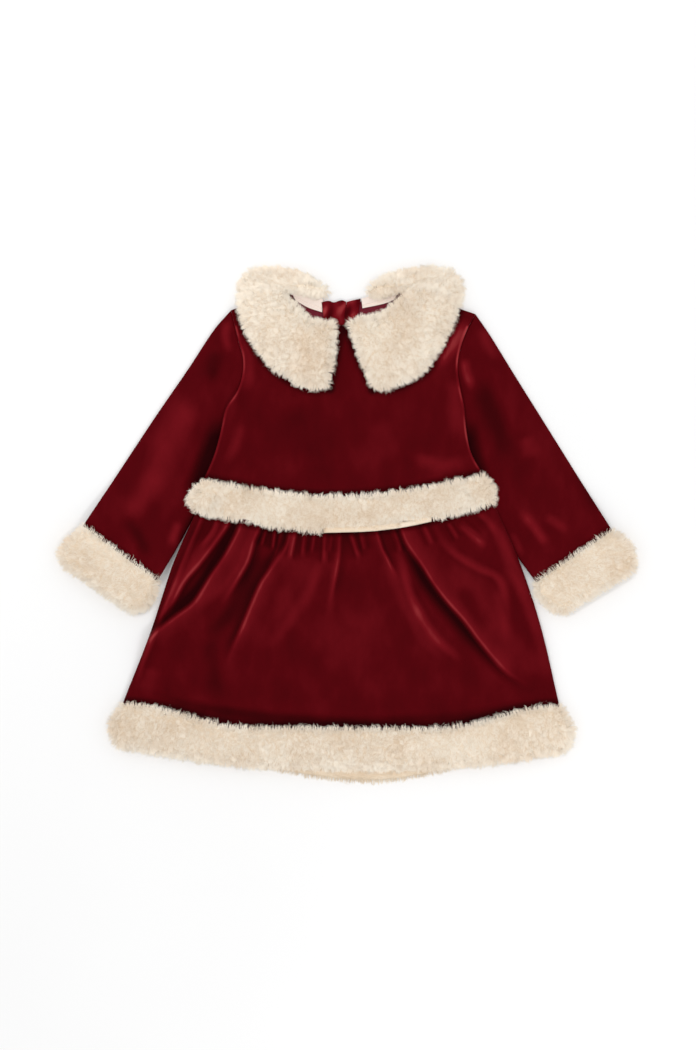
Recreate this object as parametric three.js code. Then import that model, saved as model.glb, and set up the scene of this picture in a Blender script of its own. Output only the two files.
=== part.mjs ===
// A toddler's velvet party dress with plush collar, waist band, cuffs and hem band, laid flat.
// Millimetres. +X is to the right and +Y towards the collar, seen from above, and +Z is up.
// Left and right in the names are the -X and +X sides. The dress lies on z = 0.
import * as THREE from 'three';

// Cloth and plush
const CLOTH = 1.5; // velvet with its backing
const TAPE = 1.0; // neck tape
const SEAM = 0.3; // gap that neighbouring pieces keep
const ARMHOLE_SEAM = 1.4; // and the curved armhole's
const SIDE_SEAM = 0.6; // and the side seams'
const COLLAR_GAP = 0.8; // between the collar and the bodice under it
const LAYER_GAP = 1.9; // air between the back panel and the front panel
const ROLL = 3.4; // how far in from the side seam the cloth has turned over
const BACK_PLUSH = 4.2; // plush under the back, pressed flat
const FRONT_PLUSH = 8.6; // plush on the front
const COLLAR_PLUSH = 11.5;
const CUFF_HEIGHT = 17;
const CUFF_WALL = 6.6;
const CUFF_SLIT = 3.6; // height of the slit that the wrist goes through
const CUFF_ROUND = 8; // how far in its rounded sides reach
const RIM = 2.6; // what a plush piece's edge measures
const SLEEVE_HEIGHT = 4.0; // a sleeve pressed flat
const SLEEVE_PUFF = 2.9; // how much its middle stands up over that
const SLEEVE_ROUND = 2.8;
const PLACKET = 1.2; // end of the back opening

const VELVET_COLOUR = 0x6b0a16;
const LINING_COLOUR = 0x4a0d16;
const PLUSH_COLOUR = 0xeadcc8;
const TAPE_COLOUR = 0xf1e2d8;

// Heights of the layers
const FRONT_UNDER = CLOTH + LAYER_GAP; // underside of the front panel
const WAIST_UNDER = BACK_PLUSH + 3 * SEAM; // underside of the front layer at the waist band
const HEM_UNDER = BACK_PLUSH + 3 * SEAM; // and at the hem band
const SKIRT_UNDER = 4.5; // the gathered skirt stands up more than the bodice
const LIFT = SLEEVE_HEIGHT + 2 * SEAM; // the body's edge lies on the sleeve

const mix = THREE.MathUtils.lerp;
const clamp = THREE.MathUtils.clamp;
const ease = (value, low, high) => THREE.MathUtils.smoothstep(value, low, high);

// A column of a table against its column "at", as a smooth curve through the rows.
function column(rows, name) {
  const slope = rows.map((row, i) => {
    const before = rows[Math.max(i - 1, 0)];
    const after = rows[Math.min(i + 1, rows.length - 1)];
    return (after[name] - before[name]) / (after.at - before.at);
  });
  return (at) => {
    let i = 0;
    while (i < rows.length - 2 && at > rows[i + 1].at) i += 1;
    const span = rows[i + 1].at - rows[i].at;
    const t = (at - rows[i].at) / span;
    const rise = rows[i + 1][name] - rows[i][name];
    const start = slope[i] * span;
    const end = slope[i + 1] * span;
    return rows[i][name] + t * start + t * t * (3 * rise - 2 * start - end) +
      t * t * t * (start + end - 2 * rise);
  };
}

// An edge drawn by a table with the columns at, x and y.
function edge(rows) {
  const x = column(rows, 'x');
  const y = column(rows, 'y');
  return (at) => [x(at), y(at)];
}

// A seam that runs across the dress and sags in its middle. reach is how far in the sag is full,
// as a share of the width, and bend above 1 starts it softly. low is where it is lowest.
function saggingSeam({ left, right, dip, reach, bend = 1, low = 0.5 }) {
  return (u) => {
    const fromEnd = u < low ? (0.5 * u) / low : (0.5 * (1 - u)) / (1 - low);
    const sag = dip * Math.sin((Math.PI / 2) * Math.min(1, fromEnd / reach)) ** bend;
    return [mix(left[0], right[0], u), mix(left[1], right[1], u) - sag];
  };
}

// A patch between four edges: top and bottom run left to right, left and right run downwards.
function patch(top, bottom, left, right) {
  return (u, v) => {
    const a = top(u);
    const b = bottom(u);
    const c = left(v);
    const d = right(v);
    const between = (row, k) => mix(row(0)[k], row(1)[k], u);
    const corners = (k) => mix(between(top, k), between(bottom, k), v);
    return [0, 1].map((k) => mix(a[k], b[k], v) + mix(c[k], d[k], u) - corners(k));
  };
}

// Outlines

const LEFT_BODICE_EDGE = [
  { at: 0, x: -116.5, y: 214.5 },
  { at: 0.15, x: -111, y: 190 },
  { at: 0.33, x: -104.5, y: 162 },
  { at: 0.47, x: -109, y: 136 },
  { at: 0.6, x: -121.5, y: 116 },
  { at: 0.75, x: -127, y: 92 },
  { at: 0.88, x: -133.5, y: 69 },
  { at: 1, x: -143, y: 46.5 },
];
const RIGHT_BODICE_EDGE = [
  { at: 0, x: 128, y: 210.5 },
  { at: 0.15, x: 118, y: 191 },
  { at: 0.33, x: 110.5, y: 163 },
  { at: 0.47, x: 112, y: 140 },
  { at: 0.6, x: 116.5, y: 118 },
  { at: 0.75, x: 119, y: 94 },
  { at: 0.88, x: 123.5, y: 72 },
  { at: 1, x: 134.5, y: 51.5 },
];
const UNDERARM = 0.6; // where the armhole ends and the side seam starts, on both edges above

const FRONT_NECK = [
  { at: 0, x: -116.5, y: 214.5 },
  { at: 0.22, x: -62, y: 233 },
  { at: 0.3, x: -53, y: 224 },
  { at: 0.38, x: -40, y: 209 },
  { at: 0.5, x: -4.5, y: 199.5 },
  { at: 0.62, x: 33, y: 211 },
  { at: 0.7, x: 48.5, y: 225.5 },
  { at: 0.78, x: 57.5, y: 233.5 },
  { at: 1, x: 128, y: 210.5 },
];
const BACK_NECK_LEFT = [
  { at: 0, x: -116.5, y: 214.5 },
  { at: 0.45, x: -62, y: 233 },
  { at: 0.62, x: -43, y: 227.5 },
  { at: 0.8, x: -26.5, y: 222.5 },
  { at: 1, x: -4.2, y: 220 },
];
const BACK_NECK_RIGHT = [
  { at: 0, x: -3.8, y: 220 },
  { at: 0.2, x: 14, y: 223.5 },
  { at: 0.38, x: 37.5, y: 228.5 },
  { at: 0.55, x: 57.5, y: 233.5 },
  { at: 1, x: 128, y: 210.5 },
];

const WAIST_TOP = saggingSeam({ left: [-143, 46.5], right: [134.5, 51.5], dip: 19, reach: 0.5 });
const WAIST_BOTTOM = saggingSeam({ left: [-151.5, 12.5], right: [146, 21], dip: 24, reach: 0.46 });
const HEM_TOP = saggingSeam({
  left: [-224, -176.5], right: [211.5, -178.5], dip: 24, reach: 0.3, bend: 1.9,
});
const HEM_BOTTOM = saggingSeam({ left: [-228, -223.5], right: [216, -229], dip: 19, reach: 0.41 });
const BACK_HEM_BOTTOM = saggingSeam({
  left: [-224, -220], right: [211, -225], dip: 34.5, reach: 0.5, bend: 2, low: 0.56,
});

const SKIRT_LEFT = [
  { at: 0, x: -151.5, y: 12.5 },
  { at: 0.28, x: -174.5, y: -39.5 },
  { at: 0.64, x: -197.5, y: -108.5 },
  { at: 1, x: -224, y: -176.5 },
];
const SKIRT_RIGHT = [
  { at: 0, x: 146, y: 21 },
  { at: 0.28, x: 172, y: -37.5 },
  { at: 0.64, x: 193.5, y: -102 },
  { at: 1, x: 211.5, y: -178.5 },
];

// The ends of the bands bulge past the cloth.
const WAIST_LEFT_END = [
  { at: 0, x: -143, y: 46.5 },
  { at: 0.5, x: -158.5, y: 27 },
  { at: 1, x: -151.5, y: 12.5 },
];
const WAIST_RIGHT_END = [
  { at: 0, x: 134.5, y: 51.5 },
  { at: 0.5, x: 147, y: 35 },
  { at: 1, x: 146, y: 21 },
];
const HEM_LEFT_END = [
  { at: 0, x: -224, y: -176.5 },
  { at: 0.5, x: -238.5, y: -203 },
  { at: 1, x: -228, y: -223.5 },
];
const HEM_RIGHT_END = [
  { at: 0, x: 211.5, y: -178.5 },
  { at: 0.5, x: 226, y: -207 },
  { at: 1, x: 216, y: -229 },
];
const BACK_HEM_LEFT_END = [
  { at: 0, x: -224, y: -176.5 },
  { at: 0.5, x: -234.5, y: -203 },
  { at: 1, x: -224, y: -220 },
];
const BACK_HEM_RIGHT_END = [
  { at: 0, x: 211.5, y: -178.5 },
  { at: 0.5, x: 222, y: -207 },
  { at: 1, x: 211, y: -225 },
];

// Sleeves: the outer edge from the shoulder, the inner edge from the underarm, both to the cuff.
const SLEEVES = {
  left: {
    outer: [
      { at: 0, x: -117.5, y: 214 },
      { at: 0.12, x: -134, y: 194.5 },
      { at: 0.3, x: -158, y: 158 },
      { at: 0.55, x: -194, y: 105.5 },
      { at: 1, x: -264.5, y: -1.5 },
    ],
    inner: [
      { at: 0, x: -122.5, y: 115 },
      { at: 0.2, x: -126.5, y: 83 },
      { at: 0.4, x: -136, y: 47 },
      { at: 0.6, x: -150, y: 15.5 },
      { at: 0.8, x: -168, y: -19 },
      { at: 1, x: -190, y: -57 },
    ],
    cuff: [
      { outer: [-264.6, -1.6], inner: [-190.1, -57.1] },
      { outer: [-279, -14], inner: [-191, -68] },
      { outer: [-288, -27.5], inner: [-199, -82] },
      { outer: [-281.5, -41.5], inner: [-216, -89.5] },
    ],
  },
  right: {
    outer: [
      { at: 0, x: 129, y: 210 },
      { at: 0.12, x: 143, y: 189 },
      { at: 0.3, x: 165.5, y: 152.5 },
      { at: 0.55, x: 198, y: 100.5 },
      { at: 1, x: 264.5, y: -6 },
    ],
    inner: [
      { at: 0, x: 117.5, y: 117 },
      { at: 0.2, x: 117, y: 84 },
      { at: 0.4, x: 125.5, y: 50 },
      { at: 0.6, x: 142, y: 14.5 },
      { at: 0.8, x: 163, y: -22 },
      { at: 1, x: 188.5, y: -58 },
    ],
    cuff: [
      { outer: [264.6, -6.1], inner: [188.6, -58.1] },
      { outer: [279, -16], inner: [188, -69] },
      { outer: [288, -34], inner: [199, -82] },
      { outer: [283.5, -47], inner: [217, -89.5] },
    ],
  },
};

// Collar halves: sections across the strip, from the centre front round the neck to the back.
const COLLARS = {
  left: [
    { inner: [-5, 198], outer: [-17.5, 136] },
    { inner: [-18, 200.5], outer: [-42, 135.5] },
    { inner: [-31.5, 205], outer: [-77, 156.5] },
    { inner: [-45, 216], outer: [-103, 193] },
    { inner: [-56, 227.5], outer: [-111, 225] },
    { inner: [-61, 235.5], outer: [-105.5, 249.5] },
    { inner: [-53, 236], outer: [-83, 256] },
    { inner: [-37, 231.5], outer: [-47, 252.5] },
    { inner: [-14.5, 225], outer: [-13.5, 228] },
  ],
  right: [
    { inner: [-3.5, 199], outer: [25, 135] },
    { inner: [8, 203.5], outer: [46, 135.5] },
    { inner: [24, 209], outer: [81, 155] },
    { inner: [39.5, 217.5], outer: [105, 197] },
    { inner: [51.5, 228], outer: [117, 232] },
    { inner: [57, 236], outer: [108, 252.5] },
    { inner: [51, 236], outer: [78, 256] },
    { inner: [36, 231.5], outer: [41, 250] },
    { inner: [16.5, 226], outer: [16, 229] },
  ],
};

// Largest folds of the skirt's front: from the waist downwards, with the height over the cloth
// around them and how far they spread to their left and right.
const SKIRT_FOLDS = [
  { path: [[-129, -10], [-157, -53], [-193, -107]], height: 4.6, left: 12, right: 8 },
  {
    path: [[-107, 0], [-136, -54], [-169, -92], [-211, -140], [-219, -172]],
    height: 6.2, left: 10, right: 15,
  },
  { path: [[-88, -2], [-107, -50], [-142, -88], [-184, -120]], height: 4.2, left: 12, right: 16 },
  { path: [[-64, -6], [-80, -52], [-103, -100], [-121, -145]], height: 4.4, left: 9, right: 13 },
  { path: [[-39, -10], [-44, -58], [-74, -112]], height: 3.4, left: 14, right: 12 },
  { path: [[-8, -10], [-10, -48], [-22, -90]], height: 2.4, left: 12, right: 12 },
  { path: [[30, -8], [45, -46], [68, -86], [119, -142]], height: 3.4, left: 12, right: 14 },
  { path: [[54, -4], [86, -60], [130, -114], [182, -161]], height: 6.4, left: 8, right: 14 },
  { path: [[90, -2], [124, -36], [152, -60], [172, -92]], height: 3.4, left: 12, right: 12 },
  { path: [[114, 4], [128, -4], [142, -14]], height: 2.6, left: 6, right: 6 },
  { path: [[-134, -140], [-131, -188]], height: 2.2, left: 12, right: 12 },
  { path: [[122, -150], [118, -190]], height: 2.2, left: 14, right: 14 },
];

// Gathers under the waist band: place along it, length, lean to the right over that length.
const GATHERS = [
  { x: -144, length: 20, lean: -9, height: 1.8 },
  { x: -120, length: 22, lean: -10, height: 2.2 },
  { x: -113, length: 26, lean: -11, height: 1.6 },
  { x: -96, length: 22, lean: -6, height: 2.4 },
  { x: -81, length: 26, lean: -6, height: 2.2 },
  { x: -73, length: 30, lean: -5, height: 2.4 },
  { x: -57, length: 34, lean: -6, height: 2.2 },
  { x: -43, length: 24, lean: -2, height: 2.4 },
  { x: -33, length: 18, lean: 2, height: 1.8 },
  { x: -23, length: 26, lean: 1, height: 2.2 },
  { x: -10, length: 32, lean: -1, height: 2.2 },
  { x: -2, length: 18, lean: 1, height: 1.6 },
  { x: 6, length: 28, lean: 6, height: 2.2 },
  { x: 18, length: 16, lean: 3, height: 1.4 },
  { x: 41, length: 30, lean: 11, height: 2.2 },
  { x: 48, length: 20, lean: 8, height: 1.8 },
  { x: 70, length: 20, lean: 8, height: 1.6 },
  { x: 101, length: 20, lean: 11, height: 1.8 },
  { x: 130, length: 16, lean: 9, height: 1.8 },
];
const GATHER_SPREAD = 4.5;

// Soft folds of the bodice front and of the sleeves, as the skirt's.
const BODICE_FOLDS = [
  { path: [[120, 204], [102, 178], [82, 156]], height: 1.8, left: 12, right: 12 },
  { path: [[-98, 110], [-106, 80], [-120, 56]], height: 1.6, left: 10, right: 12 },
  { path: [[-72, 78], [-40, 56], [-6, 46]], height: 1.0, left: 12, right: 12 },
  { path: [[60, 70], [90, 66], [116, 76]], height: 1.2, left: 12, right: 10 },
];
const SLEEVE_FOLDS = {
  left: [
    { path: [[-117, 186], [-116, 164], [-122, 138]], height: 1.6, left: 8, right: 6 },
    { path: [[-140, 150], [-160, 100], [-188, 54]], height: 1.5, left: 12, right: 12 },
    { path: [[-196, 40], [-214, 14], [-240, -4]], height: 1.4, left: 10, right: 10 },
  ],
  right: [
    { path: [[124, 176], [121, 150], [128, 124]], height: 1.8, left: 6, right: 9 },
    { path: [[146, 132], [170, 96], [196, 52]], height: 1.5, left: 12, right: 12 },
    { path: [[182, 30], [210, 10], [240, -2]], height: 1.4, left: 10, right: 10 },
  ],
};

// How near a point is to a fold's path: the signed distance, positive to its right seen going
// down it, and the share of the path passed.
function nearest(path, x, y) {
  let best = { distance: Infinity, side: 0, share: 0 };
  for (let i = 0; i < path.length - 1; i += 1) {
    const [ax, ay] = path[i];
    const [bx, by] = path[i + 1];
    const dx = bx - ax;
    const dy = by - ay;
    const t = clamp(((x - ax) * dx + (y - ay) * dy) / (dx * dx + dy * dy), 0, 1);
    const distance = Math.hypot(x - ax - t * dx, y - ay - t * dy);
    if (distance < best.distance) {
      const side = dy * (x - ax) - dx * (y - ay) < 0 ? 1 : -1;
      best = { distance, side, share: (i + t) / (path.length - 1) };
    }
  }
  return best;
}

const swell = (t) => (Math.abs(t) < 1 ? 0.5 + 0.5 * Math.cos(Math.PI * t) : 0);

function foldHeight(folds, x, y) {
  return folds.reduce((sum, { path, height, left, right }) => {
    const { distance, side, share } = nearest(path, x, y);
    const fade = 1 - ease(share, 0.55, 1);
    return sum + height * fade * swell(distance / (side > 0 ? right : left));
  }, 0);
}

const waistShare = (x) => {
  const [left, right] = [WAIST_BOTTOM(0)[0], WAIST_BOTTOM(1)[0]];
  return (x - left) / (right - left);
};
const GATHER_FOLDS = GATHERS.map(({ x, length, lean, height }) => {
  const top = WAIST_BOTTOM(waistShare(x))[1];
  const path = [[x, top], [x + lean, top - length]];
  return { path, height, left: GATHER_SPREAD, right: GATHER_SPREAD };
});

// How much the body's edge is raised where a sleeve lies under it: from the underarm down to where
// the sleeve leaves the body, and a little way in from the sleeve's inner edge.
const LIFT_STEPS = 24;
const LIFT_TOP = { full: 131, none: 158 }; // y
const LIFT_BOTTOM = { full: -37, none: -68 }; // y
const LIFT_INWARDS = { full: 7, none: 19 };
const SLEEVE_SLANT = 0.87; // cosine of the sleeve's lean, for the distance across it
const INNER_EDGES = Object.entries(SLEEVES).map(([side, { inner }]) => {
  const curve = edge(inner);
  const points = Array.from({ length: LIFT_STEPS + 1 }, (_, i) => curve(i / LIFT_STEPS));
  return { sign: side === 'left' ? 1 : -1, points };
});
function lift(x, y) {
  return INNER_EDGES.reduce((most, { sign, points }) => {
    let i = 0;
    while (i < points.length - 2 && points[i + 1][1] > y) i += 1;
    const [ax, ay] = points[i];
    const [bx, by] = points[i + 1];
    const across = sign * (x - mix(ax, bx, (y - ay) / (by - ay))) * SLEEVE_SLANT;
    const along = ease(-y, -LIFT_TOP.none, -LIFT_TOP.full) *
      ease(y, LIFT_BOTTOM.none, LIFT_BOTTOM.full);
    const inwards = 1 - ease(across, LIFT_INWARDS.full, LIFT_INWARDS.none);
    return Math.max(most, LIFT * along * inwards);
  }, 0);
}

// Solids from grids of points

// Joins a grid of outer points to a grid of inner points. Grids are rows of columns. A ring's
// columns close on themselves, and a panel's first and last columns get a rim.
function wall(outer, inner, ring = false) {
  const rows = outer.length;
  const columns = outer[0].length;
  const points = [...outer.flat(), ...inner.flat()];
  const index = (layer, row, col) => (layer * rows + row) * columns + (col % columns);
  const faces = [];
  const quad = (a, b, c, d) => faces.push([a, b, c], [a, c, d]);
  const steps = ring ? columns : columns - 1;
  for (let r = 0; r < rows - 1; r += 1) {
    for (let c = 0; c < steps; c += 1) {
      quad(index(0, r, c), index(0, r + 1, c), index(0, r + 1, c + 1), index(0, r, c + 1));
      quad(index(1, r, c), index(1, r, c + 1), index(1, r + 1, c + 1), index(1, r + 1, c));
    }
  }
  for (let c = 0; c < steps; c += 1) {
    const end = rows - 1;
    quad(index(0, 0, c), index(0, 0, c + 1), index(1, 0, c + 1), index(1, 0, c));
    quad(index(0, end, c + 1), index(0, end, c), index(1, end, c), index(1, end, c + 1));
  }
  if (!ring) {
    for (let r = 0; r < rows - 1; r += 1) {
      quad(index(0, r + 1, 0), index(0, r, 0), index(1, r, 0), index(1, r + 1, 0));
      const last = columns - 1;
      quad(index(0, r, last), index(0, r + 1, last), index(1, r + 1, last), index(1, r, last));
    }
  }
  return solid(points, faces);
}

// A closed geometry whose faces point out, whichever way round they were listed.
function solid(points, faces) {
  const corner = faces.map((face) => face.map((i) => new THREE.Vector3(...points[i])));
  const volume = corner.reduce((sum, [a, b, c]) => sum + a.dot(b.clone().cross(c)) / 6, 0);
  const listed = volume < 0 ? faces.map(([a, b, c]) => [a, c, b]) : faces;
  const geometry = new THREE.BufferGeometry();
  geometry.setAttribute('position', new THREE.Float32BufferAttribute(points.flat(), 3));
  geometry.setIndex(listed.flat());
  geometry.computeVertexNormals();
  return geometry;
}

// Columns of a body panel: steps round the turn at each rolled edge, and wider ones between.
const TURN_STEPS = 3;
function panelColumns(count) {
  return Array.from({ length: count + 1 }, (_, c) => {
    const fromLeft = Math.min(c, TURN_STEPS) / TURN_STEPS;
    const fromRight = Math.min(count - c, TURN_STEPS) / TURN_STEPS;
    const even = (c - TURN_STEPS) / (count - 2 * TURN_STEPS);
    const field = mix(even, 0.5 - 0.5 * Math.cos(Math.PI * even), 0.5);
    return { left: fromLeft, right: fromRight, field };
  });
}

// A panel of the laid dress. flat(u, v) gives its outline, height(x, y) the face that shows, and
// middle(x, y) the height where front and back meet at the rolled side seams. facing is 1 for a
// front and -1 for a back. rolled(v) says how far each edge is rolled, from 0, a plain edge, to 1.
function bodyPanel({ flat, height, middle, facing, columns, rows, rolled, thick = CLOTH }) {
  const plan = panelColumns(columns);
  const outer = [];
  const inner = [];
  rows.forEach((v) => {
    const [lx, ly] = flat(0, v);
    const [rx, ry] = flat(1, v);
    const width = Math.hypot(rx - lx, ry - ly);
    const roll = rolled(v);
    const layer = (wallDepth) => plan.map(({ left, right, field }) => {
      const nearLeft = left < 1;
      const turn = (Math.PI / 2) * Math.min(left, right);
      const set = wallDepth * (nearLeft ? roll.left : roll.right);
      const inset = set + (ROLL - set) * (1 - Math.cos(turn));
      let u = mix(ROLL, width - ROLL, field) / width;
      if (left < 1) u = inset / width;
      if (right < 1) u = 1 - inset / width;
      const [x, y] = flat(u, v);
      const face = height(x, y) - facing * wallDepth;
      const share = nearLeft ? roll.left : roll.right;
      const seam = middle(x, y) + (facing * SIDE_SEAM) / 2;
      const from = mix(face, seam, share);
      return [x, y, mix(from, face, Math.sin(turn))];
    });
    outer.push(layer(0));
    inner.push(layer(thick));
  });
  return wall(outer, inner);
}

// A plush strip. flat(u, v) gives its outline, under(x, y) the face it lies on, and full is how
// thick it is in the middle. The edges keep the rim's thickness.
const CROWN = 2.6; // power of the strip's rounded section: 2 is a half ellipse, more is flatter
function plushStrip({ flat, under, full, columns, rows, ends = 0.05, lump = () => 0 }) {
  const tops = [];
  const undersides = [];
  rows.forEach((v) => {
    const top = [];
    const below = [];
    for (let c = 0; c <= columns; c += 1) {
      const u = c / columns;
      const [x, y] = flat(u, v);
      const crown = Math.sqrt(Math.max(0, 1 - Math.abs(2 * v - 1) ** CROWN));
      const end = Math.sqrt(1 - (1 - Math.min(1, Math.min(u, 1 - u) / ends)) ** 2);
      const thickness = RIM + (full - RIM) * crown * end + lump(u) * crown;
      const floor = under(x, y);
      top.push([x, y, floor + thickness]);
      below.push([x, y, floor]);
    }
    tops.push(top);
    undersides.push(below);
  });
  return wall(tops, undersides);
}

const evenly = (count) => Array.from({ length: count + 1 }, (_, i) => i / count);
const CROWDING = 1.35; // above 1, rows lie closer together near the waist, where the gathers are
const crowded = (count) => evenly(count).map((t) => t ** CROWDING);
const both = (value) => () => ({ left: value, right: value });

// Layers

// The front comes down to the back at the shoulders, and up over the waist band's back.
const NECK_MIDDLE = -3; // x
const SHOULDER = { y: [205, 226], across: [48, 62] };
const WAIST_RISE = [32, 62]; // y
const restHeight = (x, y) => lift(x, y);
const bodiceUnder = (x, y) => {
  const shoulder = ease(y, ...SHOULDER.y) * ease(Math.abs(x - NECK_MIDDLE), ...SHOULDER.across);
  const waist = 1 - ease(y, ...WAIST_RISE);
  return lift(x, y) + mix(mix(FRONT_UNDER, CLOTH + SEAM, shoulder), WAIST_UNDER, waist);
};
const bodiceTop = (x, y) => bodiceUnder(x, y) + CLOTH + foldHeight(BODICE_FOLDS, x, y);
const HEM_RISE = [150, 196]; // -y
const skirtUnder = (x, y) => lift(x, y) + mix(SKIRT_UNDER, HEM_UNDER, ease(-y, ...HEM_RISE));
const skirtTop = (x, y) => skirtUnder(x, y) + CLOTH +
  foldHeight(SKIRT_FOLDS, x, y) + foldHeight(GATHER_FOLDS, x, y);
const middleOf = (under) => (x, y) => (lift(x, y) + under(x, y) + CLOTH) / 2;

const matte = (color, roughness) => new THREE.MeshStandardMaterial({ color, roughness, metalness: 0 });
const velvet = matte(VELVET_COLOUR, 0.85);
const velvetBack = matte(LINING_COLOUR, 0.95);
const plush = matte(PLUSH_COLOUR, 1);
const tape = matte(TAPE_COLOUR, 0.7);

const dress = new THREE.Group();
function add(name, geometry, material) {
  const mesh = new THREE.Mesh(geometry, material.clone());
  mesh.name = name;
  dress.add(mesh);
}

// Bodice
const leftEdge = edge(LEFT_BODICE_EDGE);
const rightEdge = edge(RIGHT_BODICE_EDGE);
const sideRoll = (v) => ease(v, UNDERARM - 0.12, UNDERARM + 0.03);
add('bodice_front', bodyPanel({
  flat: patch(edge(FRONT_NECK), WAIST_TOP, leftEdge, rightEdge),
  height: bodiceTop,
  middle: middleOf(bodiceUnder),
  facing: 1,
  columns: 32,
  rows: evenly(13),
  rolled: (v) => ({ left: sideRoll(v), right: sideRoll(v) }),
}), velvet);

const CENTRE_BACK = { x: -4, top: 220, bottom: 30.2 };
const backEdge = (x) => edge([
  { at: 0, x, y: CENTRE_BACK.top },
  { at: 1, x, y: CENTRE_BACK.bottom },
]);
const halfWaist = (from, to) => (u) => WAIST_TOP(mix(from, to, u));
const centreShare = (x) => {
  const [left, right] = [WAIST_TOP(0)[0], WAIST_TOP(1)[0]];
  return (x - left) / (right - left);
};
const backs = { left: CENTRE_BACK.x - SEAM / 2, right: CENTRE_BACK.x + SEAM / 2 };
add('bodice_back_left', bodyPanel({
  flat: patch(
    edge(BACK_NECK_LEFT), halfWaist(0, centreShare(backs.left)), leftEdge, backEdge(backs.left),
  ),
  height: restHeight,
  middle: middleOf(bodiceUnder),
  facing: -1,
  columns: 14,
  rows: evenly(10),
  rolled: (v) => ({ left: sideRoll(v), right: 0 }),
}), velvetBack);
add('bodice_back_right', bodyPanel({
  flat: patch(
    edge(BACK_NECK_RIGHT), halfWaist(centreShare(backs.right), 1), backEdge(backs.right), rightEdge,
  ),
  height: restHeight,
  middle: middleOf(bodiceUnder),
  facing: -1,
  columns: 14,
  rows: evenly(10),
  rolled: (v) => ({ left: 0, right: sideRoll(v) }),
}), velvetBack);

// Skirt
const skirtPatch = patch(WAIST_BOTTOM, HEM_TOP, edge(SKIRT_LEFT), edge(SKIRT_RIGHT));
add('skirt_front', bodyPanel({
  flat: skirtPatch,
  height: skirtTop,
  middle: middleOf(skirtUnder),
  facing: 1,
  columns: 60,
  rows: crowded(16),
  rolled: both(1),
}), velvet);
add('skirt_back', bodyPanel({
  flat: skirtPatch,
  height: restHeight,
  middle: middleOf(skirtUnder),
  facing: -1,
  columns: 24,
  rows: crowded(16).filter((_, i) => i % 2 === 0),
  rolled: both(1),
}), velvet);

// Bands. Each long edge is drawn in, so that it stays clear of the cloth that it meets.
const BAND_INSET = 0.54;
function inset(flat) {
  return (u, v) => {
    const [x, y] = flat(u, v);
    return [x, y - mix(BAND_INSET, -BAND_INSET, v)];
  };
}
const waistEnds = [edge(WAIST_LEFT_END), edge(WAIST_RIGHT_END)];
const waistPatch = inset(patch(WAIST_TOP, WAIST_BOTTOM, ...waistEnds));
add('waist_trim_front', plushStrip({
  flat: waistPatch,
  under: (x, y) => lift(x, y) + WAIST_UNDER,
  full: FRONT_PLUSH,
  columns: 32,
  rows: evenly(6),
}), plush);
const BACK_BAND_IN = 0.02; // share of its length that the back band is shorter by at each end
add('waist_trim_back', plushStrip({
  flat: (u, v) => waistPatch(mix(BACK_BAND_IN, 1 - BACK_BAND_IN, u), v),
  under: restHeight,
  full: BACK_PLUSH,
  columns: 24,
  rows: evenly(4),
}), plush);

add('hem_trim_front', plushStrip({
  flat: inset(patch(HEM_TOP, HEM_BOTTOM, edge(HEM_LEFT_END), edge(HEM_RIGHT_END))),
  under: () => HEM_UNDER,
  full: FRONT_PLUSH + 1,
  columns: 40,
  rows: evenly(6),
}), plush);
add('hem_trim_back', plushStrip({
  flat: inset(patch(
    HEM_TOP, BACK_HEM_BOTTOM, edge(BACK_HEM_LEFT_END), edge(BACK_HEM_RIGHT_END),
  )),
  under: () => 0,
  full: BACK_PLUSH,
  columns: 30,
  rows: evenly(5),
}), plush);

// Sleeves and cuffs: tubes pressed flat, open at both ends.

// Points of a flattened ring between two edges: across is the share from the outer edge to the
// inner one, and up is -1 at the underside and 1 at the top.
const RING_TURN = 3;
function ringPlan(acrossSteps) {
  const plan = [];
  const half = (from, to, sign) => {
    for (let i = 0; i < RING_TURN; i += 1) {
      const turn = (Math.PI / 2) * (i / RING_TURN);
      plan.push({ end: from, inset: 1 - Math.cos(turn), up: sign * Math.sin(turn), share: from });
    }
    for (let i = 0; i <= acrossSteps; i += 1) {
      plan.push({ end: null, inset: 1, up: sign, share: mix(from, to, i / acrossSteps) });
    }
    for (let i = RING_TURN - 1; i > 0; i -= 1) {
      const turn = (Math.PI / 2) * (i / RING_TURN);
      plan.push({ end: to, inset: 1 - Math.cos(turn), up: sign * Math.sin(turn), share: to });
    }
  };
  half(0, 1, 1);
  half(1, 0, -1);
  return plan;
}

// A tube of such rings. low(u, v) and high(u, v) are the heights of its underside and its top, and
// bore, where it is given, the two heights of the slit inside.
function flatTube({ flat, low, high, round, thick, across, rows, bore }) {
  const plan = ringPlan(across);
  const layer = (depth) => rows.map((v) => {
    const [ax, ay] = flat(0, v);
    const [bx, by] = flat(1, v);
    const width = Math.hypot(bx - ax, by - ay);
    return plan.map(({ end, inset: turned, up, share }) => {
      const from = (depth + (round - depth) * turned) / width;
      const edgeShare = round / width;
      const u = end === null ? mix(edgeShare, 1 - edgeShare, share) : Math.abs(end - from);
      const [x, y] = flat(u, v);
      const [bottom, top] = depth && bore ? bore : [low(u, v) + depth, high(u, v) - depth];
      return [x, y, mix(bottom, top, 0.5 + 0.5 * up)];
    });
  });
  return wall(layer(0), layer(thick), true);
}

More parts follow.
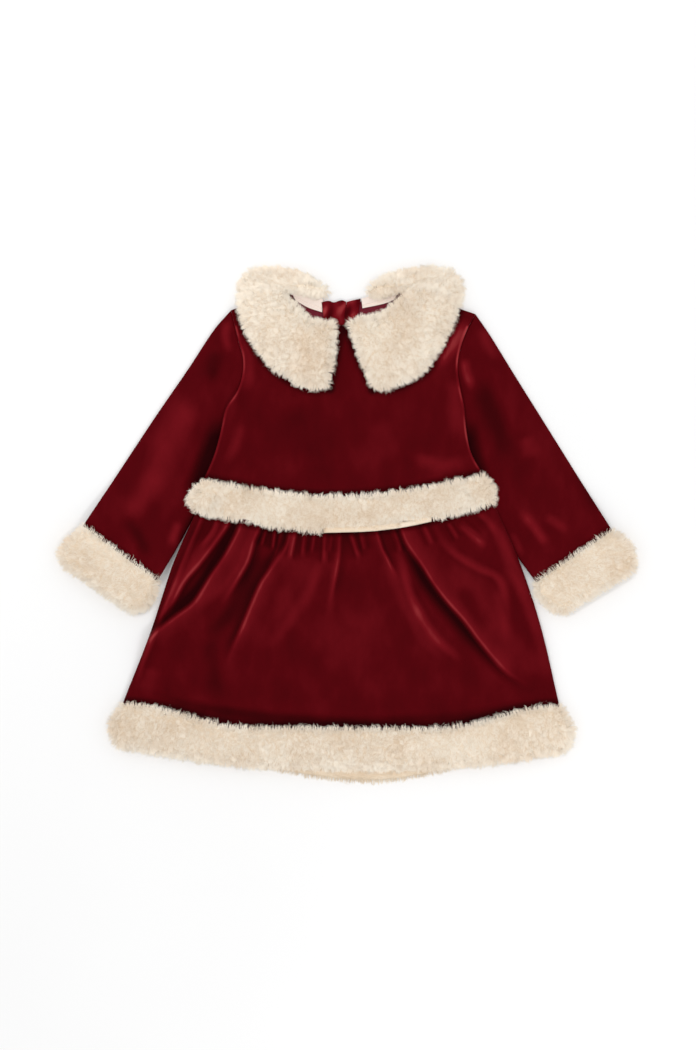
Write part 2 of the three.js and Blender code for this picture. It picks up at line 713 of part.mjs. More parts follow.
const CUFF_MIDDLE = CUFF_HEIGHT / 2;
const WRIST_LOW = CUFF_MIDDLE - SLEEVE_HEIGHT / 2 - 0.4; // the wrist rises into the cuff's middle
const CUFF_CORNERS = { low: 2.6, high: 3.6 }; // how much its ends are rounded off
const BOW = 0.7; // how far its middle bows down the arm
const point = (at, [x, y]) => ({ at, x, y });
const endsOf = (sections, end) => edge(
  sections.map((section, i) => point(i / (sections.length - 1), section[end])),
);
const lineBetween = (from, to) => (u) => [mix(from[0], to[0], u), mix(from[1], to[1], u)];

for (const [side, { outer, inner, cuff }] of Object.entries(SLEEVES)) {
  const body = side === 'left' ? leftEdge : rightEdge;
  const out = side === 'left' ? -1 : 1;
  const armhole = (u) => {
    const [x, y] = body(u * UNDERARM);
    return [x + out * ARMHOLE_SEAM, y];
  };
  const wrist = lineBetween(
    [outer.at(-1).x, outer.at(-1).y],
    [inner.at(-1).x, inner.at(-1).y],
  );
  const startAt = (rows, first) => edge([point(0, first), ...rows.slice(1)]);
  const sleeveFlat = patch(
    armhole, wrist, startAt(outer, armhole(0)), startAt(inner, armhole(1)),
  );
  // u is 0 at the outer edge and v is 0 at the shoulder. The sleeve stands up in its middle, and
  // stays flat along its inner edge, which lies under the body.
  const low = (u, v) => WRIST_LOW * ease(v, 0.76, 1);
  const high = (u, v) => {
    const [x, y] = sleeveFlat(u, v);
    const nearBody = mix(0.34, 0.17, ease(v, 0.1, 0.5));
    const puff = ease(u, 0, 0.22) * ease(1 - u, nearBody, 0.6) * ease(v, 0, 0.2);
    const nearArmhole = (1 - ease(v, 0, 0.2)) * (1 - ease(u, 0.5, 0.8));
    const rise = (FRONT_UNDER + CLOTH - SLEEVE_HEIGHT) * nearArmhole;
    const wristShare = 1 - 0.55 * ease(v, 0.8, 1);
    return low(u, v) + SLEEVE_HEIGHT + rise +
      puff * (SLEEVE_PUFF * wristShare + foldHeight(SLEEVE_FOLDS[side], x, y));
  };
  add('sleeve_' + side, flatTube({
    flat: sleeveFlat,
    low,
    high,
    round: SLEEVE_ROUND,
    thick: CLOTH,
    across: 8,
    rows: evenly(11),
  }), velvet);

  const cuffOuter = endsOf(cuff, 'outer');
  const cuffInner = endsOf(cuff, 'inner');
  const cuffFlat = (u, v) => {
    const [x, y] = lineBetween(cuffOuter(v), cuffInner(v))(u);
    const apart = SEAM * (1 - v); // down the arm, clear of the sleeve's end
    const bow = BOW * Math.sin(Math.PI * v) * Math.sin(Math.PI * u);
    return [x + out * apart * 0.6, y - apart - bow];
  };
  const swollen = (v) => Math.sqrt(Math.max(0, 1 - Math.abs(2 * v - 1) ** 3));
  add('cuff_' + side, flatTube({
    flat: cuffFlat,
    low: (u, v) => CUFF_CORNERS.low * (1 - swollen(v)),
    high: (u, v) => CUFF_HEIGHT - CUFF_CORNERS.high * (1 - swollen(v)),
    round: CUFF_ROUND,
    thick: CUFF_WALL,
    bore: [CUFF_MIDDLE - CUFF_SLIT / 2, CUFF_MIDDLE + CUFF_SLIT / 2],
    across: 6,
    rows: evenly(6),
  }), plush);
}

// Collar halves: they lie on the bodice in front, and fall to the ground past the shoulders.
const SHOULDER_LINE = { x: -2, y: 233, flat: 59, slope: 0.32 }; // level to 59 mm either side of x
const COLLAR_DROP = [3.5, 14]; // past that line
const COLLAR_CREASE = { at: 0.62, spread: 0.1, depth: 2.2 }; // where the front lobe turns back
const COLLAR_ENDS = 0.09;
function collarUnder(x, y) {
  const over = bodiceTop(x, y) + COLLAR_GAP;
  const outwards = Math.max(0, Math.abs(x - SHOULDER_LINE.x) - SHOULDER_LINE.flat);
  const past = y - SHOULDER_LINE.y + outwards * SHOULDER_LINE.slope;
  return over * (1 - ease(past, ...COLLAR_DROP));
}
for (const [side, sections] of Object.entries(COLLARS)) {
  const neck = endsOf(sections, 'inner');
  const rim = endsOf(sections, 'outer');
  add('collar_' + side, plushStrip({
    flat: (u, v) => lineBetween(neck(u), rim(u))(v),
    under: collarUnder,
    full: COLLAR_PLUSH,
    columns: 26,
    rows: evenly(6),
    ends: COLLAR_ENDS,
    lump: (u) => -COLLAR_CREASE.depth * swell((u - COLLAR_CREASE.at) / COLLAR_CREASE.spread),
  }), plush);
}

// The ends of the back opening and the tape inside the back of the neck
const INSIDE = CLOTH + SEAM; // they lie on the inside of the back
function flatPiece(top, bottom, thick) {
  const grid = (z) => evenly(2).map((v) => evenly(4).map((u) => [
    ...lineBetween(top(u), bottom(u))(v),
    z,
  ]));
  return wall(grid(INSIDE + thick), grid(INSIDE));
}
add('placket_left', flatPiece(
  lineBetween([-26, 221.8], [-1.2, 222.3]),
  lineBetween([-22.5, 196.5], [-3, 194]),
  PLACKET,
), velvet);
add('placket_right', flatPiece(
  lineBetween([-0.8, 223], [13.2, 226.3]),
  lineBetween([-2.6, 194], [8.5, 197.5]),
  PLACKET,
), velvet);
add('neck_tape_left', flatPiece(
  edge([{ at: 0, x: -55, y: 229.5 }, { at: 0.5, x: -42, y: 226 }, { at: 1, x: -27, y: 222 }]),
  edge([{ at: 0, x: -52, y: 224.5 }, { at: 0.5, x: -40, y: 217.5 }, { at: 1, x: -25.5, y: 212.5 }]),
  TAPE,
), tape);
add('neck_tape_right', flatPiece(
  edge([{ at: 0, x: 13.8, y: 223 }, { at: 0.5, x: 37, y: 228 }, { at: 1, x: 49.5, y: 230 }]),
  edge([{ at: 0, x: 15, y: 216.5 }, { at: 0.5, x: 36, y: 221 }, { at: 1, x: 46.5, y: 225 }]),
  TAPE,
), tape);

// The origin is on the ground under the middle of the dress.
const box = new THREE.Box3().setFromObject(dress);
const middle = box.getCenter(new THREE.Vector3());
dress.position.set(-middle.x, -middle.y, -box.min.z);

export default dress;
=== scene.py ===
"""A toddler's velvet party dress with plush trim, laid flat and seen from above.

The cloth pieces are thin shells on the same outlines and folds as the frame's solids, with finer
creases. Each plush piece is a soft base that carries a pile of separate tapered fibres.
Sizes are in millimetres until a mesh is made. +X is right and +Y is towards the collar.
"""
import math

import bpy
import numpy as np
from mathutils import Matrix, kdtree


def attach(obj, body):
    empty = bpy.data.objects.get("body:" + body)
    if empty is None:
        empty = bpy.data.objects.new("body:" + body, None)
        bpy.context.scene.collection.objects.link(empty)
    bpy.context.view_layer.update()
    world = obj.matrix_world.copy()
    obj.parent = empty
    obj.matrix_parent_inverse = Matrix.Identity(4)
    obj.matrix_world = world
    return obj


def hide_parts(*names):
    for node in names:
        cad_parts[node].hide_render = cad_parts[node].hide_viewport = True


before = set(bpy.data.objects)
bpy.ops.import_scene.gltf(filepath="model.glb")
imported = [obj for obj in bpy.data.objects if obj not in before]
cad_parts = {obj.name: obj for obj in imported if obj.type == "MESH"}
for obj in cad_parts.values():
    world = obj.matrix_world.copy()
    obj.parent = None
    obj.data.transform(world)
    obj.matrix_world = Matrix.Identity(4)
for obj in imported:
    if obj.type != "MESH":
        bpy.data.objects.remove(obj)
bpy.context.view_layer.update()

MM = 0.001
SIDES = ("left", "right")

# Thicknesses and heights, as in the frame
CLOTH = 1.5
TAPE = 1.0
PLACKET = 1.2
SEAM = 0.3  # between two panels that are sewn together
SIDE_SEAM = 0.6
ROLL = 3.4  # how far in a rolled side seam reaches
BACK_PLUSH = 4.2
FRONT_PLUSH = 8.6
HEM_PLUSH = FRONT_PLUSH + 1
COLLAR_PLUSH = 11.5
RIM = 2.6  # a plush strip's thickness at its edges
CUFF_HEIGHT = 17.0
CUFF_WALL = 6.6
CUFF_SLIT = 3.6
CUFF_LENGTH = 46.0
SLEEVE_HEIGHT = 4.0
SLEEVE_PUFF = 2.9
SLEEVE_ROUND = 2.8
FRONT_UNDER = CLOTH + 1.9
WAIST_UNDER = BACK_PLUSH + 3 * SEAM
HEM_UNDER = WAIST_UNDER
SKIRT_UNDER = 4.5
LIFT = SLEEVE_HEIGHT + 2 * SEAM
INSIDE = CLOTH + SEAM
UNDERARM = 0.6  # share of the bodice's side that is armhole

# How the plush bases make room for their pile
BACK_BASE = BACK_PLUSH - 0.6
BASE_FLOOR = 0.4  # height of the lowest bands and of the lowest fibres
SEAM_ALLOWANCE = 0.021  # share of a velvet panel's length that goes on under the plush
END_SHRINK = 2.6  # the most that a strip's base is drawn in at its ends
MOST_SHRINK = 0.3  # and the largest share of its length or width
TOP_SHRINK = 0.7  # share of the shrink by which the top is lowered


# Curves and outlines

def mix(a, b, t):
    return a + (b - a) * t


def ease(value, low, high):
    t = np.clip((value - low) / (high - low), 0, 1)
    return t * t * (3 - 2 * t)


def swell(t):
    return np.where(np.abs(t) < 1, 0.5 + 0.5 * np.cos(np.pi * t), 0.0)


def between(a, b, t):
    """The point a share t of the way from one point to another."""
    return mix(a[0], b[0], t), mix(a[1], b[1], t)


def apart(a, b):
    return np.hypot(b[0] - a[0], b[1] - a[1])


def shares(steps):
    return np.linspace(0, 1, steps + 1)


def column(at, values):
    """A smooth curve through a table's column against its first one."""
    at = np.asarray(at, float)
    values = np.asarray(values, float)
    last = len(at) - 1
    before = np.maximum(np.arange(last + 1) - 1, 0)
    after = np.minimum(np.arange(last + 1) + 1, last)
    slope = (values[after] - values[before]) / (at[after] - at[before])

    def curve(t):
        i = np.clip(np.searchsorted(at, t, side="left") - 1, 0, last - 1)
        span = at[i + 1] - at[i]
        s = (t - at[i]) / span
        rise = values[i + 1] - values[i]
        start, end = slope[i] * span, slope[i + 1] * span
        return (values[i] + s * start + s * s * (3 * rise - 2 * start - end)
                + s ** 3 * (start + end - 2 * rise))
    return curve


def edge(rows):
    """An edge drawn by rows of share, x and y."""
    at, xs, ys = zip(*rows)
    x, y = column(at, xs), column(at, ys)
    return lambda t: (x(np.asarray(t, float)), y(np.asarray(t, float)))


def even_edge(points):
    count = len(points) - 1
    return edge([(i / count, x, y) for i, (x, y) in enumerate(points)])


def sagging_seam(left, right, dip, reach, bend=1.0, low=0.5):
    """A seam across the dress that sags in its middle."""
    def seam(u):
        u = np.asarray(u, float)
        from_end = np.where(u < low, 0.5 * u / low, 0.5 * (1 - u) / (1 - low))
        sag = dip * np.sin(np.pi / 2 * np.clip(from_end / reach, 0, 1)) ** bend
        x, y = between(left, right, u)
        return x, y - sag
    return seam


def patch(top, bottom, left, right):
    """A patch between four edges: top and bottom run left to right, left and right downwards."""
    def flat(u, v):
        u, v = np.broadcast_arrays(np.asarray(u, float), np.asarray(v, float))
        a, b, c, d = top(u), bottom(u), left(v), right(v)
        t0, t1, b0, b1 = top(0.0), top(1.0), bottom(0.0), bottom(1.0)
        out = []
        for k in (0, 1):
            corner = (1 - v) * mix(t0[k], t1[k], u) + v * mix(b0[k], b1[k], u)
            out.append(mix(a[k], b[k], v) + mix(c[k], d[k], u) - corner)
        return out
    return flat


LEFT_BODICE_EDGE = edge([
    (0, -116.5, 214.5), (0.15, -111, 190), (0.33, -104.5, 162), (0.47, -109, 136),
    (0.6, -121.5, 116), (0.75, -127, 92), (0.88, -133.5, 69), (1, -143, 46.5)])
RIGHT_BODICE_EDGE = edge([
    (0, 128, 210.5), (0.15, 118, 191), (0.33, 110.5, 163), (0.47, 112, 140),
    (0.6, 116.5, 118), (0.75, 119, 94), (0.88, 123.5, 72), (1, 134.5, 51.5)])
FRONT_NECK = edge([
    (0, -116.5, 214.5), (0.22, -62, 233), (0.3, -53, 224), (0.38, -40, 209), (0.5, -4.5, 199.5),
    (0.62, 33, 211), (0.7, 48.5, 225.5), (0.78, 57.5, 233.5), (1, 128, 210.5)])
BACK_NECK_LEFT = edge([
    (0, -116.5, 214.5), (0.45, -62, 233), (0.62, -43, 227.5), (0.8, -26.5, 222.5), (1, -4, 220)])
BACK_NECK_RIGHT = edge([
    (0, -4, 220), (0.2, 14, 223.5), (0.38, 37.5, 228.5), (0.55, 57.5, 233.5), (1, 128, 210.5)])

# Corners that the pieces share: the bodice and the waist band, the waist band and the skirt, the
# skirt and the hem band, and the lower corners of the front and the back hem band
WAIST_CORNERS = (-143, 46.5), (134.5, 51.5)
SKIRT_CORNERS = (-151.5, 12.5), (146, 21)
HEM_CORNERS = (-224, -176.5), (211.5, -178.5)
LOWEST_CORNERS = (-228, -223.5), (216, -229)
BACK_LOWEST_CORNERS = (-224, -220), (211, -225)

WAIST_TOP = sagging_seam(*WAIST_CORNERS, 19, 0.5)
WAIST_BOTTOM = sagging_seam(*SKIRT_CORNERS, 24, 0.46)
HEM_TOP = sagging_seam(*HEM_CORNERS, 24, 0.3, 1.9)
HEM_BOTTOM = sagging_seam(*LOWEST_CORNERS, 19, 0.41)
BACK_HEM_BOTTOM = sagging_seam(*BACK_LOWEST_CORNERS, 34.5, 0.5, 2, 0.56)


def band_ends(upper, lower, *outermost):
    """The left and the right end of a band, each bowed out to a point in its middle."""
    return [edge([(0, *a), (0.5, *b), (1, *c)]) for a, b, c in zip(upper, outermost, lower)]


SKIRT_LEFT = edge([
    (0, *SKIRT_CORNERS[0]), (0.28, -174.5, -39.5), (0.64, -197.5, -108.5), (1, *HEM_CORNERS[0])])
SKIRT_RIGHT = edge([
    (0, *SKIRT_CORNERS[1]), (0.28, 172, -37.5), (0.64, 193.5, -102), (1, *HEM_CORNERS[1])])
WAIST_ENDS = band_ends(WAIST_CORNERS, SKIRT_CORNERS, (-158.5, 27), (147, 35))
HEM_ENDS = band_ends(HEM_CORNERS, LOWEST_CORNERS, (-238.5, -203), (226, -207))
BACK_HEM_ENDS = band_ends(HEM_CORNERS, BACK_LOWEST_CORNERS, (-234.5, -203), (222, -207))

# Sleeves: outer edge from the shoulder, inner edge from the underarm, both to the cuff
SLEEVES = {
    "left": {
        "outer": [(0.12, -134, 194.5), (0.3, -158, 158), (0.55, -194, 105.5), (1, -264.5, -1.5)],
        "inner": [(0.2, -126.5, 83), (0.4, -136, 47), (0.6, -150, 15.5), (0.8, -168, -19),
                  (1, -190, -57)],
        "cuff_outer": [(-264.6, -1.6), (-279, -14), (-288, -27.5), (-281.5, -41.5)],
        "cuff_inner": [(-190.1, -57.1), (-191, -68), (-199, -82), (-216, -89.5)],
    },
    "right": {
        "outer": [(0.12, 143, 189), (0.3, 165.5, 152.5), (0.55, 198, 100.5), (1, 264.5, -6)],
        "inner": [(0.2, 117, 84), (0.4, 125.5, 50), (0.6, 142, 14.5), (0.8, 163, -22),
                  (1, 188.5, -58)],
        "cuff_outer": [(264.6, -6.1), (279, -16), (288, -34), (283.5, -47)],
        "cuff_inner": [(188.6, -58.1), (188, -69), (199, -82), (217, -89.5)],
    },
}
UNDERARM_POINT = {"left": (-122.5, 115), "right": (117.5, 117)}

# Collar halves: inner and outer ends of the sections across the strip, from the centre front
COLLARS = {
    "left": {
        "inner": [(-5, 198), (-18, 200.5), (-31.5, 205), (-45, 216), (-56, 227.5), (-61, 235.5),
                  (-53, 236), (-37, 231.5), (-14.5, 225)],
        "outer": [(-17.5, 136), (-42, 135.5), (-77, 156.5), (-103, 193), (-111, 225),
                  (-105.5, 249.5), (-83, 256), (-47, 252.5), (-13.5, 228)],
    },
    "right": {
        "inner": [(-3.5, 199), (8, 203.5), (24, 209), (39.5, 217.5), (51.5, 228), (57, 236),
                  (51, 236), (36, 231.5), (16.5, 226)],
        "outer": [(25, 135), (46, 135.5), (81, 155), (105, 197), (117, 232), (108, 252.5),
                  (78, 256), (41, 250), (16, 229)],
    },
}

# Turned folds of the skirt: path from the waist down, height, and how far the fold reaches to its
# left and to its right. A short reach is the steep side: painted highlight on it, painted shade past it.
SKIRT_CRESTS = [
    ([(-146, 6), (-162, -32), (-181, -78), (-203, -134), (-216, -170)], 1.8, 3, 5),
    ([(-119, 2), (-127, -10), (-147, -37), (-163, -56), (-177, -80), (-196, -104)], 4.6, 15, 5.5),
    ([(-106, 1), (-110, -10), (-123, -33), (-136, -52), (-152, -78), (-171, -93), (-190, -108),
      (-203, -122), (-215, -143), (-222, -178)], 7.4, 6, 20),
    ([(-88, -3), (-94, -16), (-100, -36), (-110, -54), (-130, -86)], 4.4, 13, 5.5),
    ([(-81, -5), (-87, -24)], 2.6, 4, 3),
    ([(-72, -5), (-75, -28)], 3.2, 4, 3),
    ([(-66, -6), (-72, -30), (-84, -50)], 2.2, 3, 6),
    ([(-57, -8), (-61, -22), (-72, -40), (-85, -58), (-95, -80), (-104, -102), (-113, -122),
      (-123, -148)], 4.8, 5.5, 17),
    ([(-52, -9), (-58, -38)], 2.4, 5, 3.5),
    ([(-23, -10), (-24, -42)], 2.2, 3.5, 6),
    ([(-33, -10), (-36, -30)], 1.8, 4, 3),
    ([(-8, -12), (-10, -38), (-19, -84)], 2.2, 7, 4),
    ([(4, -12), (12, -36)], 2.2, 4, 5),
    ([(29, -8), (34, -24), (40, -36), (49, -56)], 3.2, 8, 4),
    ([(46, -5), (51, -18), (54, -30)], 2.6, 6, 4),
    ([(54, -4), (59, -17), (67, -29), (76, -42), (86, -58), (99, -75), (117, -95), (131, -114),
      (144, -130), (158, -145), (172, -155), (190, -165)], 7.4, 6, 22),
    ([(-130, 6), (-136, -8), (-150, -26)], 2.2, 4, 6),
    ([(-43, -10), (-46, -34)], 2.0, 3.5, 5),
    ([(-16, -12), (-18, -30)], 1.8, 4, 3),
    ([(13, -10), (17, -28)], 1.8, 3, 5),
    ([(77, -3), (86, -22)], 1.8, 5, 4),
    ([(102, 0), (112, -16)], 1.6, 5, 4),
]
# Soft folds: the same columns, and a trough has a height below 0
SKIRT_FOLDS = [
    ([(-37, -38), (-49, -68), (-66, -98)], 2.6, 13, 11),
    ([(55, -30), (59, -54), (66, -78), (77, -102), (89, -118), (103, -130), (126, -148)], 3.6, 12, 13),
    ([(87, -2), (96, -21), (111, -33), (128, -45), (147, -51), (158, -65), (167, -86)], 3.4, 9, 10),
    ([(116, 2), (128, -8), (141, -15)], 2.8, 5, 6),
    ([(131, 8), (142, 0)], 2.0, 4, 5),
    ([(101, -2), (112, -22)], 1.8, 5, 5),
    ([(70, -4), (78, -24)], 1.6, 5, 5),
    ([(18, -10), (21, -28)], 1.4, 4, 4),
    ([(143, 16), (158, -20), (180, -66), (196, -118), (207, -168)], 1.4, 6, 5),
    ([(-97, -6), (-112, -46), (-140, -76)], -1.6, 6, 7),
    ([(-135, -128), (-131, -190)], -1.4, 9, 8),
    ([(43, -10), (58, -46), (90, -90), (130, -128)], -1.8, 8, 8),
    ([(22, -20), (36, -70), (62, -118)], -1.4, 12, 14),
    ([(-205, -168), (-150, -186), (-60, -196)], -1.8, 9, 9),
    ([(-60, -196), (20, -198), (110, -194), (200, -172)], -1.8, 9, 9),
    ([(-80, -150), (-72, -194)], 1.2, 14, 14),
    ([(0, -140), (4, -196)], 1.2, 18, 18),
    ([(96, -150), (90, -192)], 1.2, 14, 14),
    ([(-175, -140), (-172, -182)], 1.4, 12, 10),
]
# Painted sheen and painted shade on the velvet: path, shade, reach to the left and to the right.
# Above 0 is painted sheen, lighter, and below 0 is painted shade, darker.
SKIRT_PAINTED_LIGHT = [
    ([(-137, 8), (-152, -26), (-175, -76), (-186, -100)], 0.2, 11, 9),
    ([(-112, -2), (-131, -36), (-158, -72), (-180, -92)], -0.8, 8, 7),
    ([(-97, -6), (-112, -44), (-138, -72), (-160, -88)], 0.2, 9, 10),
    ([(-80, -20), (-96, -50), (-118, -90), (-150, -120)], -0.5, 12, 14),
    ([(-40, -30), (-62, -78), (-88, -110)], 0.2, 18, 16),
    ([(-138, -110), (-135, -140), (-131, -196)], -0.3, 16, 12),
    ([(-196, -140), (-206, -172)], 0.25, 12, 16),
    ([(-214, -172), (-120, -188), (-40, -197), (20, -199), (90, -197)], -0.55, 15, 10),
    ([(20, -196), (110, -194), (215, -174)], -0.35, 12, 10),
    ([(0, -80), (10, -160)], 0.22, 50, 40),
    ([(60, -20), (80, -58), (110, -98), (150, -144)], -0.65, 13, 6),
    ([(40, -20), (50, -60), (76, -110), (110, -140)], 0.3, 12, 10),
    ([(100, -20), (126, -70), (160, -120), (190, -160)], 0.2, 24, 24),
    ([(48, -16), (57, -50), (66, -78), (84, -108), (104, -128), (120, -138)], 0.5, 7, 8),
    ([(86, -2), (106, -28), (130, -43), (150, -54), (160, -78), (168, -104)], 0.42, 6, 8),
    ([(108, 2), (122, -8), (132, -17), (140, -24)], 0.45, 6, 6),
    ([(128, 12), (140, 4), (152, -14)], 0.35, 6, 6),
    ([(148, -60), (156, -90), (160, -124)], 0.25, 9, 9),
    ([(-24, -20), (-36, -60), (-58, -96), (-84, -130)], 0.3, 9, 10),
    ([(-6, -20), (-14, -60), (-20, -100)], 0.25, 6, 7),
    ([(110, -60), (140, -110)], -0.3, 12, 16),
    ([(142, 12), (160, -30), (184, -90), (204, -160)], 0.4, 10, 10),
]
# Painted sheen and painted shade on the bodice, with the same columns
BODICE_PAINTED_LIGHT = [
    ([(124, 207), (102, 178), (84, 156)], 0.75, 15, 13),
    ([(106, 150), (108, 118), (118, 80)], 0.35, 16, 14),
    ([(60, 70), (96, 60), (124, 66)], 0.3, 12, 10),
    ([(-106, 196), (-98, 160), (-106, 126)], 0.35, 8, 10),
    ([(-104, 104), (-112, 80), (-124, 56)], 0.3, 9, 8),
    ([(-60, 120), (-30, 60)], -0.2, 40, 40),
    ([(30, 110), (50, 60)], 0.12, 30, 30),
]
# Painted sheen and painted shade on the sleeves, with the same columns; the darkest paths, beside the
# body's edge, are painted shadow
SLEEVE_PAINTED_LIGHT = {
    "left": [
        ([(-150, 126), (-176, 84), (-196, 30)], 0.42, 24, 22),
        ([(-180, 60), (-206, 24), (-226, 6)], 0.35, 22, 18),
        ([(-120, 206), (-122, 188), (-116, 168)], 0.5, 8, 8),
        ([(-130, 176), (-138, 140)], -0.35, 14, 12),
        ([(-124, 110), (-136, 76), (-148, 44), (-156, 20)], -1.0, 16, 14),
        ([(-168, 4), (-178, -24)], 0.45, 8, 8),
        ([(-152, 12), (-168, -22)], -0.5, 10, 10),
        ([(-222, 10), (-196, -36)], -0.35, 10, 10),
    ],
    "right": [
        ([(116, 168), (118, 150), (126, 132)], 0.6, 5, 9),
        ([(133, 200), (140, 180), (152, 160)], 0.3, 9, 9),
        ([(128, 150), (150, 100), (160, 50)], -0.45, 18, 16),
        ([(119, 110), (124, 76), (132, 48), (146, 20)], -1.0, 14, 14),
        ([(176, 90), (186, 64)], 0.3, 16, 16),
        ([(172, 16), (190, -8), (200, -22)], 0.5, 7, 9),
        ([(196, 10), (222, -8)], 0.35, 8, 8),
        ([(164, -6), (176, -34)], 0.35, 6, 6),
        ([(230, 56), (256, 12)], -0.3, 14, 12),
    ],
}
BODICE_FOLDS = [
    ([(120, 204), (102, 178), (82, 156)], 1.8, 12, 12),
    ([(-98, 110), (-106, 80), (-120, 56)], 1.6, 10, 12),
    ([(-72, 78), (-40, 56), (-6, 46)], 1.0, 12, 12),
    ([(60, 70), (90, 66), (116, 76)], 1.2, 12, 10),
    ([(-112, 196), (-100, 176), (-98, 150), (-108, 124)], -0.9, 5, 6),
    ([(112, 190), (104, 168), (106, 136), (112, 112)], -1.0, 6, 5),
    ([(-116, 108), (-122, 84), (-132, 58)], 1.2, 5, 5),
    ([(112, 116), (114, 88), (122, 62)], 1.2, 5, 5),
    ([(-90, 132), (-64, 104), (-30, 92)], 0.7, 12, 12),
    ([(96, 128), (70, 100), (36, 88)], 0.7, 12, 12),
    ([(-110, 64), (-84, 50), (-50, 40)], -0.8, 7, 7),
    ([(110, 70), (84, 54), (52, 44)], -0.8, 7, 7),
    ([(-16, 140), (-10, 110), (-14, 78)], 0.5, 12, 12),
]
SLEEVE_FOLDS = {
    "left": [
        ([(-117, 186), (-116, 164), (-122, 138)], 1.6, 8, 6),
        ([(-140, 150), (-160, 100), (-188, 54)], 1.5, 12, 12),
        ([(-196, 40), (-214, 14), (-240, -4)], 1.4, 10, 10),
    ],
    "right": [
        ([(124, 176), (121, 150), (128, 124)], 1.8, 6, 9),
        ([(146, 132), (170, 96), (196, 52)], 1.5, 12, 12),
        ([(182, 30), (210, 10), (240, -2)], 1.4, 10, 10),
    ],
}
# Finer creases, with the same columns
SLEEVE_CREASES = {
    "left": [
        ([(-128, 176), (-134, 156), (-150, 140)], 1.1, 7, 7),
        ([(-150, 132), (-158, 112), (-172, 96)], -1.1, 7, 7),
        ([(-132, 92), (-150, 70), (-160, 44)], 1.3, 8, 8),
        ([(-176, 104), (-196, 76), (-206, 56)], 1.0, 9, 9),
        ([(-160, 26), (-178, 12), (-190, -8)], 1.2, 8, 8),
        ([(-206, 70), (-222, 40), (-236, 22)], -1.0, 8, 8),
        ([(-186, -30), (-204, -20), (-222, -18)], 1.2, 7, 7),
        ([(-214, 34), (-236, 14), (-252, 6)], 0.8, 8, 8),
    ],
    "right": [
        ([(136, 176), (142, 156), (156, 142)], 1.1, 7, 7),
        ([(154, 132), (164, 112), (178, 98)], -1.1, 7, 7),
        ([(128, 96), (146, 72), (156, 46)], 1.3, 8, 8),
        ([(180, 100), (200, 74), (212, 52)], 1.0, 9, 9),
        ([(152, 20), (170, 8), (184, -12)], 1.2, 8, 8),
        ([(208, 70), (224, 42), (240, 20)], -1.0, 8, 8),
        ([(184, -34), (204, -24), (222, -20)], 1.2, 7, 7),
        ([(216, 30), (238, 12), (254, 2)], 0.8, 8, 8),
    ],
}
PATH_STEPS = 8  # straight pieces between two points of a fold's path


def smooth_path(points):
    curve = even_edge(points)
    return np.stack(curve(shares((len(points) - 1) * PATH_STEPS)), axis=1)


def beside(points, x, y):
    """Distance from a path, whether a point is to its left, and the share of the path passed."""
    path = smooth_path(points)
    best = np.full(np.shape(x), np.inf)
    side = np.zeros(np.shape(x))
    share = np.zeros(np.shape(x))
    for i in range(len(path) - 1):
        ax, ay = path[i]
        dx, dy = path[i + 1] - path[i]
        t = np.clip(((x - ax) * dx + (y - ay) * dy) / (dx * dx + dy * dy), 0, 1)
        distance = np.hypot(x - ax - t * dx, y - ay - t * dy)
        nearer = distance < best
        best = np.where(nearer, distance, best)
        side = np.where(nearer, dy * (x - ax) - dx * (y - ay), side)
        share = np.where(nearer, (i + t) / (len(path) - 1), share)
    return best, side >= 0, share


def fold_height(folds, x, y, fades=0.55, starts=0.0):
    """What soft folds add at each point.

    A fold rises over the share starts of its path, and fades away from the share fades on.
    """
    total = np.zeros(np.shape(x))
    for points, height, left, right in folds:
        distance, on_left, share = beside(points, x, y)
        reach = np.where(on_left, left, right)
        start = ease(share, 0, starts) if starts else 1
        total += height * start * (1 - ease(share, fades, 1)) * swell(distance / reach)
    return total


def painted_light_along(paths, x, y):
    """Painted sheen and painted shade of the velvet along the paths of a table."""
    return fold_height(paths, x, y, 0.65, 0.25)


FADES = 0.68  # share of a fold's path from which it fades away
FULL_SHADE = 4.5  # height of a fold whose painted highlight and painted shade are full
STEEP = 6  # reach up to which a fold's side is steep
PAINTED_VALLEY_WIDTH = 9  # how wide the painted shade beside a steep side is
HIGHLIGHT_LINE = 2.4  # reach of a crest's painted highlight line on its gentle side


def crests(x, y):
    """What the turned folds add to the height of the velvet, and their painted highlight and painted
    shade.
    """
    total = np.zeros(np.shape(x))
    shade = np.zeros(np.shape(x))
    for points, height, left, right in SKIRT_CRESTS:
        distance, on_left, share = beside(points, x, y)
        reach = np.where(on_left, left, right)
        fade = 1 - ease(share, FADES, 1)
        t = np.clip(distance / reach, 0, 1)
        steep = reach <= STEEP
        total += height * fade * np.where(steep, 1 - t * t * (2 - t), (1 - t) ** 2 * (1 + 1.5 * t))
        strength = fade * min(1.0, height / FULL_SHADE)
        past = np.clip((distance - 0.7 * reach) / PAINTED_VALLEY_WIDTH, 0, 1)
        # a painted highlight along a steep side's crest, and painted shade in the valley past it
        painted_highlight_line = 0.72 * swell(distance / (0.6 * reach))
        painted_valley_shade = -0.75 * (1 - past) ** 1.5 * ease(distance / reach, 0.55, 0.9)
        # on the gentle side, a painted sheen that fades away from the crest
        painted_slope_sheen = 0.48 * (1 - t) ** 1.6 + 0.24 * swell(distance / HIGHLIGHT_LINE)
        shade += strength * np.where(steep, painted_highlight_line + painted_valley_shade, painted_slope_sheen)
    return total, shade


